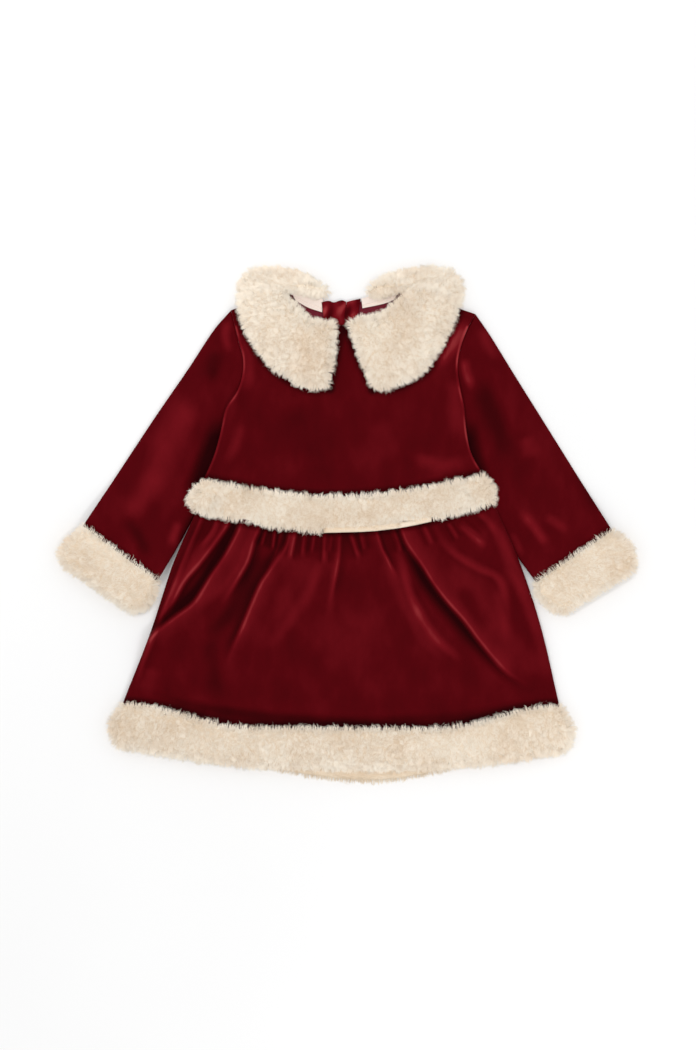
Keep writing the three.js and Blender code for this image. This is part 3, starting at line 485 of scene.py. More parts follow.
def ripple(x, y, seed, wavelength):
    """A gentle unevenness of the cloth between -1 and 1, the same on each run."""
    rng = np.random.default_rng(seed)
    total = np.zeros(np.shape(x))
    for _ in range(7):
        angle = rng.uniform(0, np.pi)
        wave = 2 * np.pi / (wavelength * rng.uniform(0.7, 1.6))
        total += np.sin(wave * (x * np.cos(angle) + y * np.sin(angle)) + rng.uniform(0, 2 * np.pi))
    return total / 7


# Where a sleeve lies under the body's edge: the stretch, and how far in the edge comes down again
RAISED_TOP = (-158, -131)
RAISED_END = (-68, -37)
RAISED_IN = (7, 19)
EDGE_TILT = 0.87  # width square to the edge for a width across the dress


def lift(x, y):
    """How much the body's edge is raised where a sleeve lies under it."""
    most = np.zeros(np.shape(x))
    for side, sign in zip(SIDES, (1, -1)):
        inner = edge([(0, *UNDERARM_POINT[side]), *SLEEVES[side]["inner"]])
        ex, ey = inner(shares(59))
        inner_x = np.interp(-y, -ey, ex)
        across = sign * (x - inner_x) * EDGE_TILT
        along = ease(-y, *RAISED_TOP) * ease(y, *RAISED_END)
        most = np.maximum(most, LIFT * along * (1 - ease(across, *RAISED_IN)))
    return most


# Heights of the layers

SHOULDER = (205, 226)  # where the front comes down to the shoulder seam
BESIDE_NECK = (48, 62)
WAIST = (32, 62)
ABOVE_HEM = (150, 196)


def bodice_under(x, y):
    shoulder = ease(y, *SHOULDER) * ease(np.abs(x + 3), *BESIDE_NECK)
    waist = 1 - ease(y, *WAIST)
    return lift(x, y) + mix(mix(FRONT_UNDER, CLOTH + SEAM, shoulder), WAIST_UNDER, waist)


def bodice_top(x, y):
    return (bodice_under(x, y) + CLOTH + fold_height(BODICE_FOLDS, x, y)
            + 0.5 * ripple(x, y, 3, 60) + 0.12 * ripple(x, y, 4, 16))


def skirt_under(x, y):
    return lift(x, y) + mix(SKIRT_UNDER, HEM_UNDER, ease(-y, *ABOVE_HEM))


def skirt_top(x, y):
    folds = crests(x, y)[0] + fold_height(SKIRT_FOLDS, x, y)
    return (skirt_under(x, y) + CLOTH + folds
            + 0.6 * ripple(x, y, 5, 70) + 0.15 * ripple(x, y, 6, 18))


PLUSH_SHADOW_REACH = 7  # reach of the painted shadow beside a plush edge


# Painted shadow on the velvet beside the edges of the plush
def painted_plush_shadow(edges, x, y):
    shade = np.zeros(np.shape(x))
    for drawn in edges:
        points = list(zip(*drawn(shares(23))))
        shade -= 0.75 * swell(beside(points, x, y)[0] / PLUSH_SHADOW_REACH)
    return shade


# The skirt's painted highlights and painted shade: the crests', the table's and the painted shadow
# beside the waist band and the hem, with random tone
def skirt_painted_light(x, y):
    edges = painted_plush_shadow([WAIST_BOTTOM, HEM_TOP], x, y)
    return crests(x, y)[1] + painted_light_along(SKIRT_PAINTED_LIGHT, x, y) + edges + 0.14 * ripple(x, y, 7, 40)


EDGE_HIGHLIGHT = 2.1  # reach of the painted highlight line along the bodice's edge
FRONT_OF_RIM = 6  # points of a collar's outer edge that lie on the bodice


# The bodice's painted sheen and painted shade, with painted shadow beside the waist band and the collar
# and random tone
def bodice_painted_light(x, y):
    halves = COLLARS.values()
    rims = [even_edge(half["outer"][:FRONT_OF_RIM]) for half in halves]
    rims += [even_edge([half["inner"][0], half["outer"][0]]) for half in halves]
    shade = painted_light_along(BODICE_PAINTED_LIGHT, x, y) + painted_plush_shadow([WAIST_TOP, *rims], x, y) + 0.12 * ripple(x, y, 9, 50)
    # a painted highlight along each side edge of the bodice
    for body, step in ((LEFT_BODICE_EDGE, 1.2), (RIGHT_BODICE_EDGE, -1.2)):
        ex, ey = body(np.linspace(0.1, 1, 10))
        distance = beside([(a + step, b) for a, b in zip(ex, ey)], x, y)[0]
        shade += (0.55 + 0.5 * ripple(x, y, 12, 30)) * swell(distance / EDGE_HIGHLIGHT)
    return shade


# The sleeve's painted sheen and painted shade, with painted shadow beside the cuff and random tone
def sleeve_painted_light(side):
    rows = SLEEVES[side]
    wrist = even_edge([rows["outer"][-1][1:], rows["inner"][-1][1:]])
    return lambda x, y: (painted_light_along(SLEEVE_PAINTED_LIGHT[side], x, y) + painted_plush_shadow([wrist], x, y)
                         + 0.15 * ripple(x, y, 10, 45))


def middle_of(under):
    return lambda x, y: (lift(x, y) + under(x, y) + CLOTH) / 2


# Meshes

def layer(x, y, z):
    return np.stack([x, y, z], axis=2)


def grid_wall(outer, inner, ring=False):
    """Vertices and faces of a wall between two grids of points, closed at its edges."""
    rows, columns = outer.shape[:2]
    points = np.concatenate([outer.reshape(-1, 3), inner.reshape(-1, 3)])
    steps = columns if ring else columns - 1
    end = rows - 1
    last = columns - 1

    def quads(*corners):
        """Faces between four corners, each given by its layer, row and column."""
        return np.stack([(side * rows + row) * columns + col % columns for side, row, col in corners], 1)

    r, c = (grid.ravel() for grid in np.meshgrid(np.arange(end), np.arange(steps), indexing="ij"))
    k = np.arange(steps)
    walls = [
        quads((0, r, c), (0, r + 1, c), (0, r + 1, c + 1), (0, r, c + 1)),
        quads((1, r, c), (1, r, c + 1), (1, r + 1, c + 1), (1, r + 1, c)),
        quads((0, 0, k), (0, 0, k + 1), (1, 0, k + 1), (1, 0, k)),
        quads((0, end, k + 1), (0, end, k), (1, end, k), (1, end, k + 1)),
    ]
    if not ring:
        j = np.arange(end)
        walls.append(quads((0, j + 1, 0), (0, j, 0), (1, j, 0), (1, j + 1, 0)))
        walls.append(quads((0, j, last), (0, j + 1, last), (1, j + 1, last), (1, j, last)))
    faces = np.concatenate(walls)
    a, b, c = (points[faces[:, i]] for i in (0, 1, 2))
    if np.einsum("ij,ij->", a, np.cross(b, c)) < 0:
        faces = faces[:, ::-1]
    return points, faces


def mesh_object(name, points, faces, material, smooth=True):
    """faces is one array of quads or a list of arrays with one corner count each."""
    groups = faces if isinstance(faces, list) else [faces]
    mesh = bpy.data.meshes.new(name)
    mesh.vertices.add(len(points))
    mesh.vertices.foreach_set("co", (np.asarray(points) * MM).astype(np.float32).ravel())
    corners = np.concatenate([g.ravel() for g in groups]).astype(np.int32)
    sizes = np.concatenate([np.full(len(g), g.shape[1]) for g in groups]).astype(np.int32)
    mesh.loops.add(len(corners))
    mesh.loops.foreach_set("vertex_index", corners)
    mesh.polygons.add(len(sizes))
    starts = np.concatenate([[0], np.cumsum(sizes)[:-1]]).astype(np.int32)
    mesh.polygons.foreach_set("loop_start", starts)
    mesh.polygons.foreach_set("loop_total", sizes)
    mesh.polygons.foreach_set("use_smooth", np.full(len(sizes), smooth))
    mesh.update(calc_edges=True)
    mesh.validate()
    mesh.materials.append(material)
    return add_to_scene(name, mesh)


def add_values(piece, name, values):
    """Gives each point of a mesh a value that its material reads."""
    piece.data.attributes.new(name, "FLOAT", "POINT").data.foreach_set("value", values)


TURN_STEPS = 6  # straight pieces in a rolled edge


def panel_columns(count):
    """Shares of the left and the right roll and of the field between them, for each column."""
    c = np.arange(count + 1)
    left = np.minimum(c, TURN_STEPS) / TURN_STEPS
    right = np.minimum(count - c, TURN_STEPS) / TURN_STEPS
    field = (c - TURN_STEPS) / (count - 2 * TURN_STEPS)
    return left, right, np.clip(field, 0, 1)


def body_panel(flat, height, middle, facing, columns, rows, left_roll, right_roll):
    """A panel of the laid dress, as the frame's, with its rolled side seams."""
    left, right, field = panel_columns(columns)
    v = rows[:, None]
    width = apart(flat(0.0, v), flat(1.0, v))
    roll = np.where(left < 1, left_roll(v), right_roll(v))
    turn = np.pi / 2 * np.minimum(left, right)
    field_u = mix(ROLL, width - ROLL, field) / width
    layers = []
    for depth in (0.0, CLOTH):
        set_in = depth * roll
        inset = (set_in + (ROLL - set_in) * (1 - np.cos(turn))) / width
        u = np.where(left < 1, inset, np.where(right < 1, 1 - inset, field_u))
        x, y = flat(u, v * np.ones_like(u))
        face = height(x, y) - facing * depth
        seam = middle(x, y) + facing * SIDE_SEAM / 2
        start = mix(face, seam, roll)
        layers.append(layer(x, y, mix(start, face, np.sin(turn))))
    return grid_wall(*layers)


def ring_plan(across):
    """The points round a flat tube's section.

    Each has the end that it turns at, or -1 between the ends, how far in it is, how far up, and its
    share of the way across.
    """
    turns = [np.pi / 2 * i / TURN_STEPS for i in range(TURN_STEPS)]
    plan = []
    for start, stop, sign in ((0, 1, 1), (1, 0, -1)):
        plan += [(start, 1 - np.cos(turn), sign * np.sin(turn), start) for turn in turns]
        plan += [(-1, 1, sign, mix(start, stop, i / across)) for i in range(across + 1)]
        plan += [(stop, 1 - np.cos(turn), sign * np.sin(turn), stop) for turn in turns[:0:-1]]
    return np.array(plan).T


def flat_tube(flat, low, high, round_edge, thick, across, rows, bore=None):
    """A tube pressed flat, open at both ends, as the frame's. bore holds its slit's two heights."""
    ends, insets, ups, passed = ring_plan(across)
    v = rows[:, None]
    width = apart(flat(0.0, v), flat(1.0, v))
    edge_share = round_edge / width
    layers = []
    for depth in (0.0, thick):
        start = (depth + (round_edge - depth) * insets) / width
        turned = np.where(ends == 0, start, 1 - start)
        u = np.where(ends < 0, mix(edge_share, 1 - edge_share, passed), turned)
        full_v = v * np.ones_like(u)
        x, y = flat(u, full_v)
        if depth and bore:
            bottom, top = (np.full_like(u, height) for height in bore)
        else:
            bottom, top = low(u, full_v) + depth, high(u, full_v) - depth
        layers.append(layer(x, y, mix(bottom, top, 0.5 + 0.5 * ups)))
    return grid_wall(*layers, ring=True)


NEVER_LESS = 1e-3  # for a strip's length or width, by which its shrink is divided


def grid(columns, rows):
    return np.meshgrid(shares(columns), shares(rows))


def plush_strip(flat, under, full, columns, rows, rim=RIM, ends=0.05, lump=None, shrink=0.0,
                first=None):
    """A plush strip's base. shrink draws its outline and its top in, to leave room for the pile.

    first is the same along the edge where v is 0, as a function of u.
    """
    u, v = grid(columns, rows)
    crown = np.sqrt(np.clip(1 - np.abs(2 * v - 1) ** 2.6, 0, 1))
    near_end = np.clip(np.minimum(u, 1 - u) / ends, 0, 1)
    end = np.sqrt(1 - (1 - near_end) ** 2)
    x, y = flat(u, v)
    if shrink:
        zeros, ones = np.zeros_like(u), np.ones_like(u)
        across = np.maximum(apart(flat(u, zeros), flat(u, ones)), NEVER_LESS)
        along = np.maximum(apart(flat(zeros, v), flat(ones, v)), NEVER_LESS)
        near = np.clip((first(u) if first else shrink) / across, 0, MOST_SHRINK)
        far = np.clip(shrink / across, 0, MOST_SHRINK)
        tip = np.clip(min(shrink, END_SHRINK) / along, 0, MOST_SHRINK)
        x, y = flat(mix(tip, 1 - tip, u), mix(near, 1 - far, v))
    thickness = rim + (full - rim - shrink * TOP_SHRINK) * crown * end
    if lump:
        thickness = thickness + lump(u) * crown
    floor = under(x, y)
    return grid_wall(layer(x, y, floor + thickness), layer(x, y, floor))


def flat_piece(top, bottom, thick, columns=24, rows=12, wave=0.0, seed=0, fold=0.0):
    """A small piece inside the neck. fold is the depth of a line folded along it."""
    u, v = grid(columns, rows)
    x, y = between(top(u), bottom(u), v)
    face = INSIDE + thick + wave * ripple(x, y, seed, 12) - fold * swell((v - 0.72) / 0.09)
    return grid_wall(layer(x, y, face), layer(x, y, np.full_like(x, INSIDE)))


def line(start, stop):
    return lambda u: between(start, stop, u)


# Plush pile

BLADE = 5  # points of a fibre: two at its root, two at its bend and its tip
FIBRE_WIDTH = 0.36
CLUMP = 2.8  # distance between tufts
LEAN = 0.3  # how far tufts lean at random
LOOSE = 0.24  # how far a fibre strays from its tuft
ROOTED = 0.3  # how deep a fibre starts below the base's face


def unit(vectors):
    return vectors / np.maximum(np.linalg.norm(vectors, axis=1), 1e-6)[:, None]


def dot(a, b):
    return np.einsum("ij,ij->i", a, b)


def read_surface(mesh):
    """A mesh's points and normals in millimetres, and the corners of its triangles."""
    mesh.calc_loop_triangles()
    corners = np.empty(len(mesh.loop_triangles) * 3, np.int32)
    mesh.loop_triangles.foreach_get("vertices", corners)
    found = []
    for name in ("co", "normal"):
        values = np.empty(len(mesh.vertices) * 3, np.float32)
        mesh.vertices.foreach_get(name, values)
        found.append(values.reshape(-1, 3).astype(float))
    return found[0] / MM, found[1], corners.reshape(-1, 3)


def scatterer(rng, mesh, skip):
    """A function that draws places and their normals on a mesh, and the area to be covered."""
    points, normals, corners = read_surface(mesh)
    a, b, c = (points[corners[:, i]] for i in range(3))
    face_normal = np.cross(b - a, c - a)
    area = np.linalg.norm(face_normal, axis=1) / 2
    face_normal /= np.maximum(2 * area, 1e-9)[:, None]
    weight = np.where(face_normal[:, 2] > -0.6, area, 0)
    if skip is not None:
        centre = (a + b + c) / 3
        weight = weight * skip(centre[:, 0], centre[:, 1])
    chance = weight / weight.sum()

    def scatter(number):
        tri = rng.choice(len(chance), number, p=chance)
        p, q = rng.random(number), rng.random(number)
        over = p + q > 1
        p, q = np.where(over, 1 - p, p)[:, None], np.where(over, 1 - q, q)[:, None]
        place = a[tri] + p * (b[tri] - a[tri]) + q * (c[tri] - a[tri])
        first, second, third = (normals[corners[tri, i]] for i in range(3))
        return place, unit(first * (1 - p - q) + second * p + third * q)

    return scatter, weight.sum()


def pile(name, base, count, length, material, seed, flow=None, skip=None):
    """Tapered fibres on a base's outer face, gathered into small tufts.

    flow is the way that they lean, and skip is the share of them that grows at each place.
    """
    rng = np.random.default_rng(seed)
    scatter, covered = scatterer(rng, base.data, skip)

    tufts = max(20, int(covered / CLUMP ** 2))
    tuft_root, tuft_normal = scatter(tufts)
    tuft_lean = rng.normal(0, LEAN, (tufts, 3))
    if flow is not None:
        fx, fy = flow(tuft_root[:, 0], tuft_root[:, 1])
        tuft_lean[:, 0] += fx
        tuft_lean[:, 1] += fy
    tuft_lean -= dot(tuft_lean, tuft_normal)[:, None] * tuft_normal
    tuft_length = length * rng.uniform(0.75, 1.2, tufts)
    tuft_tip = tuft_root + unit(tuft_normal + tuft_lean) * tuft_length[:, None]

    root, normal = scatter(count)
    tree = kdtree.KDTree(tufts)
    for i, place in enumerate(tuft_root):
        tree.insert(place, i)
    tree.balance()
    near = np.array([tree.find(place)[1] for place in root])
    own = unit(normal + tuft_lean[near] * 0.8 + rng.normal(0, LOOSE, (count, 3)))
    sideways = 1 + 0.25 * (1 - np.clip(normal[:, 2], 0, 1))
    reach = tuft_length[near] * sideways * rng.uniform(0.6, 1.15, count)
    tip = root + own * reach[:, None]
    pull = rng.uniform(0.0, 0.35, count)[:, None]
    tip = mix(tip, tuft_tip[near] + rng.normal(0, 0.35, (count, 3)), pull)
    bend = root + normal * (reach * 0.42)[:, None] + (tip - root) * 0.28
    root = root - normal * ROOTED
    for points in (root, bend, tip):
        points[:, 2] = np.maximum(points[:, 2], BASE_FLOOR)

    lit = normal * 0.3 + np.array([0, 0, 1.0])
    side = unit(np.cross(tip - root, lit + rng.normal(0, 0.2, (count, 3))))
    facing = dot(np.cross(side, tip - root), lit)
    side *= np.where(facing < 0, -1, 1)[:, None]
    half = side * (FIBRE_WIDTH * rng.uniform(0.7, 1.2, count) / 2)[:, None]
    strands = np.stack([root - half, root + half, bend + half * 0.8, bend - half * 0.8, tip], axis=1)
    start = np.arange(count)[:, None] * BLADE
    faces = [start + np.array([[0, 1, 2, 3]]), start + np.array([[3, 2, 4]])]
    piece = mesh_object(name, strands.reshape(-1, 3), faces, material)

    # share along each fibre, with a random offset for each; the plush material paints shade at the roots
    # from it
    along = np.array([0, 0, 0.55, 0.55, 1]) + rng.uniform(-0.25, 0.25, (count, 1))
    add_values(piece, "along", along.ravel())
    soft = unit(normal * 0.5 + own * 0.2 + np.array([0, 0, 0.7]))
    piece.data.normals_split_custom_set_from_vertices(np.repeat(soft, BLADE, axis=0))
    piece.visible_shadow = False  # light passes through fine fibres
    return piece


def steady(lean_x, lean_y):
    """The same lean everywhere."""
    return lambda x, y: (lean_x, lean_y)


# The collar's pile: the middle of the neck, how far the pile leans away from it, and how far and
# where it hangs over the tape at the back
NECK_CENTRE = (-2, 228)
COLLAR_LEAN = 0.3
HANG = 1.1
HANG_BEGINS = (225, 228)
HANG_ENDS = (235, 241)
HANG_BESIDE = (50, 58)


def outwards(x, y):
    """The collar's pile lies away from the neck, and hangs over the tape at the back."""
    dx, dy = x - NECK_CENTRE[0], y - NECK_CENTRE[1]
    distance = np.maximum(np.hypot(dx, dy), 1)
    hang = HANG * ease(y, *HANG_BEGINS) * (1 - ease(y, *HANG_ENDS))
    hang = hang * (1 - ease(np.abs(dx), *HANG_BESIDE))
    return COLLAR_LEAN * dx / distance, COLLAR_LEAN * dy / distance - hang


# Materials

def add_node(tree, kind, values=(), links=()):
    """Adds a node. values and links say what goes into its inputs, by name or number."""
    node = tree.nodes.new("ShaderNode" + kind)
    for name, value in dict(values).items():
        node.inputs[name].default_value = value
    for name, source in dict(links).items():
        tree.links.new(source, node.inputs[name])
    return node


def coordinates(tree):
    return add_node(tree, "TexCoord").outputs["Object"]


def noise(tree, scale, detail=3.0, turned=0.0, stretch=1.0):
    """Noise in the object's own metres, pressed together along a way that is turned."""
    placed = add_node(tree, "Mapping", {"Rotation": (0, 0, turned), "Scale": (stretch, 1, 1)},
                      {"Vector": coordinates(tree)})
    made = add_node(tree, "TexNoise", {"Scale": scale, "Detail": detail},
                    {"Vector": placed.outputs["Vector"]})
    return made.outputs["Fac"]


def weave(tree, scale, distortion):
    made = add_node(tree, "TexWave", {"Scale": scale, "Distortion": distortion},
                    {"Vector": coordinates(tree)})
    return made.outputs["Fac"]


def point_value(tree, name):
    """What add_values gave to each point."""
    made = add_node(tree, "Attribute")
    made.attribute_name = name
    return made.outputs["Fac"]


def plus_share(tree, a, b, share):
    """a and a share of b."""
    made = add_node(tree, "Math", {1: share}, {0: b, 2: a})
    made.operation = "MULTIPLY_ADD"
    return made.outputs["Value"]


def ramp(tree, value, stops):
    made = add_node(tree, "ValToRGB", links={"Fac": value})
    elements = made.color_ramp.elements
    for element, (position, color) in zip(elements, (stops[0], stops[-1])):
        element.position = position
        element.color = (*color, 1)
    for position, color in stops[1:-1]:
        elements.new(position).color = (*color, 1)
    return made.outputs["Color"]


def bump(tree, value, strength, distance):
    made = add_node(tree, "Bump", {"Strength": strength, "Distance": distance}, {"Height": value})
    return made.outputs["Normal"]


def new_material(name):
    made = bpy.data.materials.new(name)
    made.use_nodes = True
    return made, made.node_tree


def set_surface(tree, values, color, normal=None):
    """Sets a material's surface: values go by the names of its inputs."""
    principled = tree.nodes["Principled BSDF"]
    for name, value in values.items():
        principled.inputs[name].default_value = value
    tree.links.new(color, principled.inputs["Base Color"])
    if normal is not None:
        tree.links.new(normal, principled.inputs["Normal"])


# Colours of the velvet, from painted shade at 0 through its own deep red near the middle to painted
# highlight at 1
VELVET_PAINTED_LIGHT_COLOURS = [
    (0.0, (0.018, 0.0003, 0.001)),
    (0.3, (0.046, 0.0006, 0.0018)),
    (0.5, (0.078, 0.001, 0.003)),
    (0.75, (0.15, 0.0045, 0.0085)),
    (1.0, (0.33, 0.038, 0.042)),
]
INSIDE_SHADES = [(0.3, (0.11, 0.009, 0.018)), (0.7, (0.17, 0.018, 0.032))]
TAPE_SHADES = [(0.1, (0.84, 0.7, 0.62)), (0.9, (0.92, 0.82, 0.75))]
FLOOR_SHADES = [(0.3, (0.9, 0.9, 0.9)), (0.7, (0.92, 0.92, 0.92))]
# span from painted shade to painted highlight, random tone included, that the velvet's colours cover
PAINTED_LIGHT_RANGE = {"From Min": -0.75, "From Max": 1.25}


def velvet_material():
    made, tree = new_material("velvet")
    brushed = noise(tree, 32, 6, turned=2.2, stretch=1.8)
    # painted_light holds the painted sheen and painted shade, to which random brushed tone is added
    mixed = plus_share(tree, point_value(tree, "painted_light"), brushed, 0.5)
    centred = add_node(tree, "MapRange", PAINTED_LIGHT_RANGE, {"Value": mixed}).outputs["Result"]
    grain = noise(tree, 1400, 2)
    set_surface(tree, {
        "Roughness": 0.85, "Specular IOR Level": 0.03,
        "Sheen Weight": 0.2, "Sheen Roughness": 0.35, "Sheen Tint": (1.0, 0.1, 0.12, 1),
    }, color=ramp(tree, centred, VELVET_PAINTED_LIGHT_COLOURS), normal=bump(tree, grain, 0.25, 0.0004))
    return made


def velvet_inside_material():
    made, tree = new_material("velvet_inside")
    set_surface(tree, {"Roughness": 0.95, "Specular IOR Level": 0.15},
                color=ramp(tree, noise(tree, 40), INSIDE_SHADES),
                normal=bump(tree, weave(tree, 420, 1.5), 0.3, 0.0003))
    return made


def plush_material(name, dark, light):
    """Cream plush, darker in random patches, with painted shade at its roots that lightens towards its
    tips.
    """
    made, tree = new_material(name)
    mixed = plus_share(tree, noise(tree, 28, 2), noise(tree, 180, 2), 0.4)
    # painted shade at each fibre's root, lighter towards its tip
    shaded = plus_share(tree, mixed, point_value(tree, "along"), 0.28)
    set_surface(tree, {
        "Roughness": 0.9, "Specular IOR Level": 0.15, "Sheen Weight": 0.15, "Sheen Roughness": 0.5,
    }, color=ramp(tree, shaded, [(0.42, dark), (1.08, light)]))
    return made


def tape_material():
    made, tree = new_material("tape")
    woven = weave(tree, 500, 0.6)
    set_surface(tree, {"Roughness": 0.7}, color=ramp(tree, woven, TAPE_SHADES),
                normal=bump(tree, woven, 0.3, 0.0002))
    return made


def floor_material():
    made, tree = new_material("floor")
    set_surface(tree, {"Roughness": 0.9, "Specular IOR Level": 0.1},
                color=ramp(tree, noise(tree, 3), FLOOR_SHADES))
    return made


VELVET = velvet_material()
VELVET_INSIDE = velvet_inside_material()
PLUSH_BASE = plush_material("plush_base", (0.78, 0.63, 0.46), (0.93, 0.81, 0.66))
PLUSH = plush_material("plush", (0.84, 0.68, 0.51), (0.99, 0.91, 0.79))
# A darker copy of the plush, painted shade for pile that lies under other pieces
PLUSH_PAINTED_SHADE = plush_material("plush_painted_shade", (0.72, 0.56, 0.39), (0.88, 0.75, 0.58))
TAPE_CREAM = tape_material()


# The camera: straight above, the photograph's frame of 1.05 m by 0.696 m on the ground
VIEW_HEIGHT = 1.05
LENS = 85
SENSOR = 36
CAMERA_AT = (0.0005, -0.0005)
VIEWED = 0.006  # height above the ground where the view is that tall

# Lights: name, place in metres, width and power
LIGHTS = [
    ("key", (-1.1, 1.5, 2.4), 1.6, 98),
    ("fill", (1.3, -1.4, 2.3), 2.4, 78),
]
WORLD_STRENGTH = 0.72
FLOOR_HALF = 15.0


def add_to_scene(name, data):
    made = bpy.data.objects.new(name, data)
    bpy.context.scene.collection.objects.link(made)
    return made


def place_camera():
    data = bpy.data.cameras.new("camera")
    data.lens = LENS
    data.sensor_fit = "VERTICAL"
    data.sensor_height = SENSOR
    camera = add_to_scene("camera", data)
    camera.location = (*CAMERA_AT, VIEW_HEIGHT * LENS / SENSOR + VIEWED)
    bpy.context.scene.camera = camera


def area_light(name, location, size, power):
    """A square light that points at the middle of the dress."""
    data = bpy.data.lights.new(name, "AREA")
    data.shape = "SQUARE"
    data.size = size
    data.energy = power
    light = add_to_scene(name, data)
    light.location = location
    x, y, z = location
    light.rotation_euler = (math.atan2(math.hypot(x, y), z), 0, math.atan2(-x, y))


def build_stage():
    corners = [(-1, -1, 0), (1, -1, 0), (1, 1, 0), (-1, 1, 0)]
    points = np.array(corners) * FLOOR_HALF / MM
    ground = mesh_object("floor", points, np.array([[0, 1, 2, 3]]), floor_material(), smooth=False)
    for light in LIGHTS:
        area_light(*light)
    world = bpy.data.worlds.new("world")
    bpy.context.scene.world = world
    world.use_nodes = True
    world.node_tree.nodes["Background"].inputs["Color"].default_value = (1, 1, 1, 1)
    world.node_tree.nodes["Background"].inputs["Strength"].default_value = WORLD_STRENGTH
    bpy.context.scene.view_settings.view_transform = "Standard"


# Pieces

def cloth(name, made, material, painted_light=None):
    piece = mesh_object(name, *made, material)
    if painted_light is not None:
        # each point's painted sheen and painted shade, which the velvet material turns into colour
        add_values(piece, "painted_light", np.clip(painted_light(made[0][:, 0], made[0][:, 1]), -1, 1))
    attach(piece, "root")
    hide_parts(name.replace("cloth_", ""))


def plush_piece(node, made, flat_size, area, rests_on, fibre=PLUSH, extra=(), **pile_words):
    """A plush piece of the frame: its base and its pile. extra, what else is made of the same sheet, is
    not used.
    """
    base = mesh_object("plush_" + node, *made, PLUSH_BASE)
    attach(base, "root")
    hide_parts(node)
    fibres = pile("pile_" + node, base, material=fibre, **pile_words)
    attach(fibres, "root")


# Side seams: how far each is rolled at the shares v of its length

def side_roll(v):
    return ease(v, UNDERARM - 0.12, UNDERARM + 0.03)


rolled_all_along = np.ones_like
not_rolled = np.zeros_like

# The centre back runs straight down from the neck to the waist
CENTRE_BACK = -4
CENTRE_BACK_TOP = 220
CENTRE_BACK_END = 30.2


def centre_back(t):
    return np.full(np.shape(t), float(CENTRE_BACK)), mix(CENTRE_BACK_TOP, CENTRE_BACK_END, np.asarray(t))


def build_bodice():
    middle = middle_of(bodice_under)
    flat = patch(FRONT_NECK, WAIST_TOP, LEFT_BODICE_EDGE, RIGHT_BODICE_EDGE)
    rows = np.linspace(0, 1 + SEAM_ALLOWANCE, 91)
    front = body_panel(flat, bodice_top, middle, 1, 120, rows, side_roll, side_roll)
    cloth("cloth_bodice_front", front, VELVET,
          painted_light=bodice_painted_light)

    ends = [WAIST_TOP(t)[0] for t in (0.0, 1.0)]
    share = (CENTRE_BACK - ends[0]) / (ends[1] - ends[0])
    halves = [
        ("left", BACK_NECK_LEFT, (0, share), LEFT_BODICE_EDGE, centre_back, side_roll, not_rolled),
        ("right", BACK_NECK_RIGHT, (share, 1), centre_back, RIGHT_BODICE_EDGE, not_rolled, side_roll),
    ]
    rows = shares(40)
    for side, neck, part, left, right, left_roll, right_roll in halves:
        flat = patch(neck, lambda u, part=part: WAIST_TOP(mix(*part, u)), left, right)
        back = body_panel(flat, lift, middle, -1, 48, rows, left_roll, right_roll)
        cloth("cloth_bodice_back_" + side, back, VELVET_INSIDE)


CLOSER_AT_TOP = 1.15  # power that draws the skirt's rows together where it is gathered


def build_skirt():
    middle = middle_of(skirt_under)
    flat = patch(WAIST_BOTTOM, HEM_TOP, SKIRT_LEFT, SKIRT_RIGHT)
    rows = mix(-SEAM_ALLOWANCE, 1 + SEAM_ALLOWANCE, shares(140) ** CLOSER_AT_TOP)
    rolls = rolled_all_along, rolled_all_along
    front = body_panel(flat, skirt_top, middle, 1, 290, rows, *rolls)
    cloth("cloth_skirt_front", front, VELVET,
          painted_light=skirt_painted_light)
    back = body_panel(flat, lift, middle, -1, 70, shares(40), *rolls)
    cloth("cloth_skirt_back", back, VELVET)


ARMHOLE_GAP = 0.2


def build_sleeve(side):
    rows = SLEEVES[side]
    body = LEFT_BODICE_EDGE if side == "left" else RIGHT_BODICE_EDGE
    out = -1 if side == "left" else 1

    def armhole(u):
        x, y = body(np.asarray(u, float) * UNDERARM)
        return x + out * ARMHOLE_GAP, y

    start, stop = armhole(0.0), armhole(1.0)
    outer = edge([(0, float(start[0]), float(start[1])), *rows["outer"]])
    inner = edge([(0, float(stop[0]), float(stop[1])), *rows["inner"]])
    wrist = line(rows["outer"][-1][1:], rows["inner"][-1][1:])
    flat = patch(armhole, wrist, outer, inner)
    wrist_low = CUFF_HEIGHT / 2 - SLEEVE_HEIGHT / 2 - 0.4

    def low(u, v):
        return wrist_low * ease(v, 0.76, 1)

    def high(u, v):
        x, y = flat(u, v)
        soft_end = mix(0.34, 0.17, ease(v, 0.1, 0.5))
        puff = ease(u, 0, 0.22) * ease(1 - u, soft_end, 0.6) * ease(v, 0, 0.2)
        rise = (FRONT_UNDER + CLOTH - SLEEVE_HEIGHT) * (1 - ease(v, 0, 0.2)) * (1 - ease(u, 0.5, 0.8))
        creases = fold_height(SLEEVE_CREASES[side], x, y) + 0.5 * ripple(x, y, 8 + out, 40)
        away = ease(u, 0, 0.1) * ease(1 - u, 0.02, 0.2) * ease(v, 0, 0.08)
        return (low(u, v) + SLEEVE_HEIGHT + rise + SLEEVE_PUFF * puff * (1 - 0.55 * ease(v, 0.8, 1))
                + fold_height(SLEEVE_FOLDS[side], x, y) * puff + creases * away)

    tube = flat_tube(flat, low, high, SLEEVE_ROUND, CLOTH, 38, shares(65))
    cloth("cloth_sleeve_" + side, tube, VELVET,
          painted_light=sleeve_painted_light(side))


# A cuff's base: how far it is drawn in, its round edge and its wall
CUFF_SHRINK = 3.2
CUFF_ROUND = 7
CUFF_BASE_WALL = CUFF_WALL - 2
CUFF_BOW = 3.5
CUFF_FLOW = 0.35  # how far the pile leans away from the dress


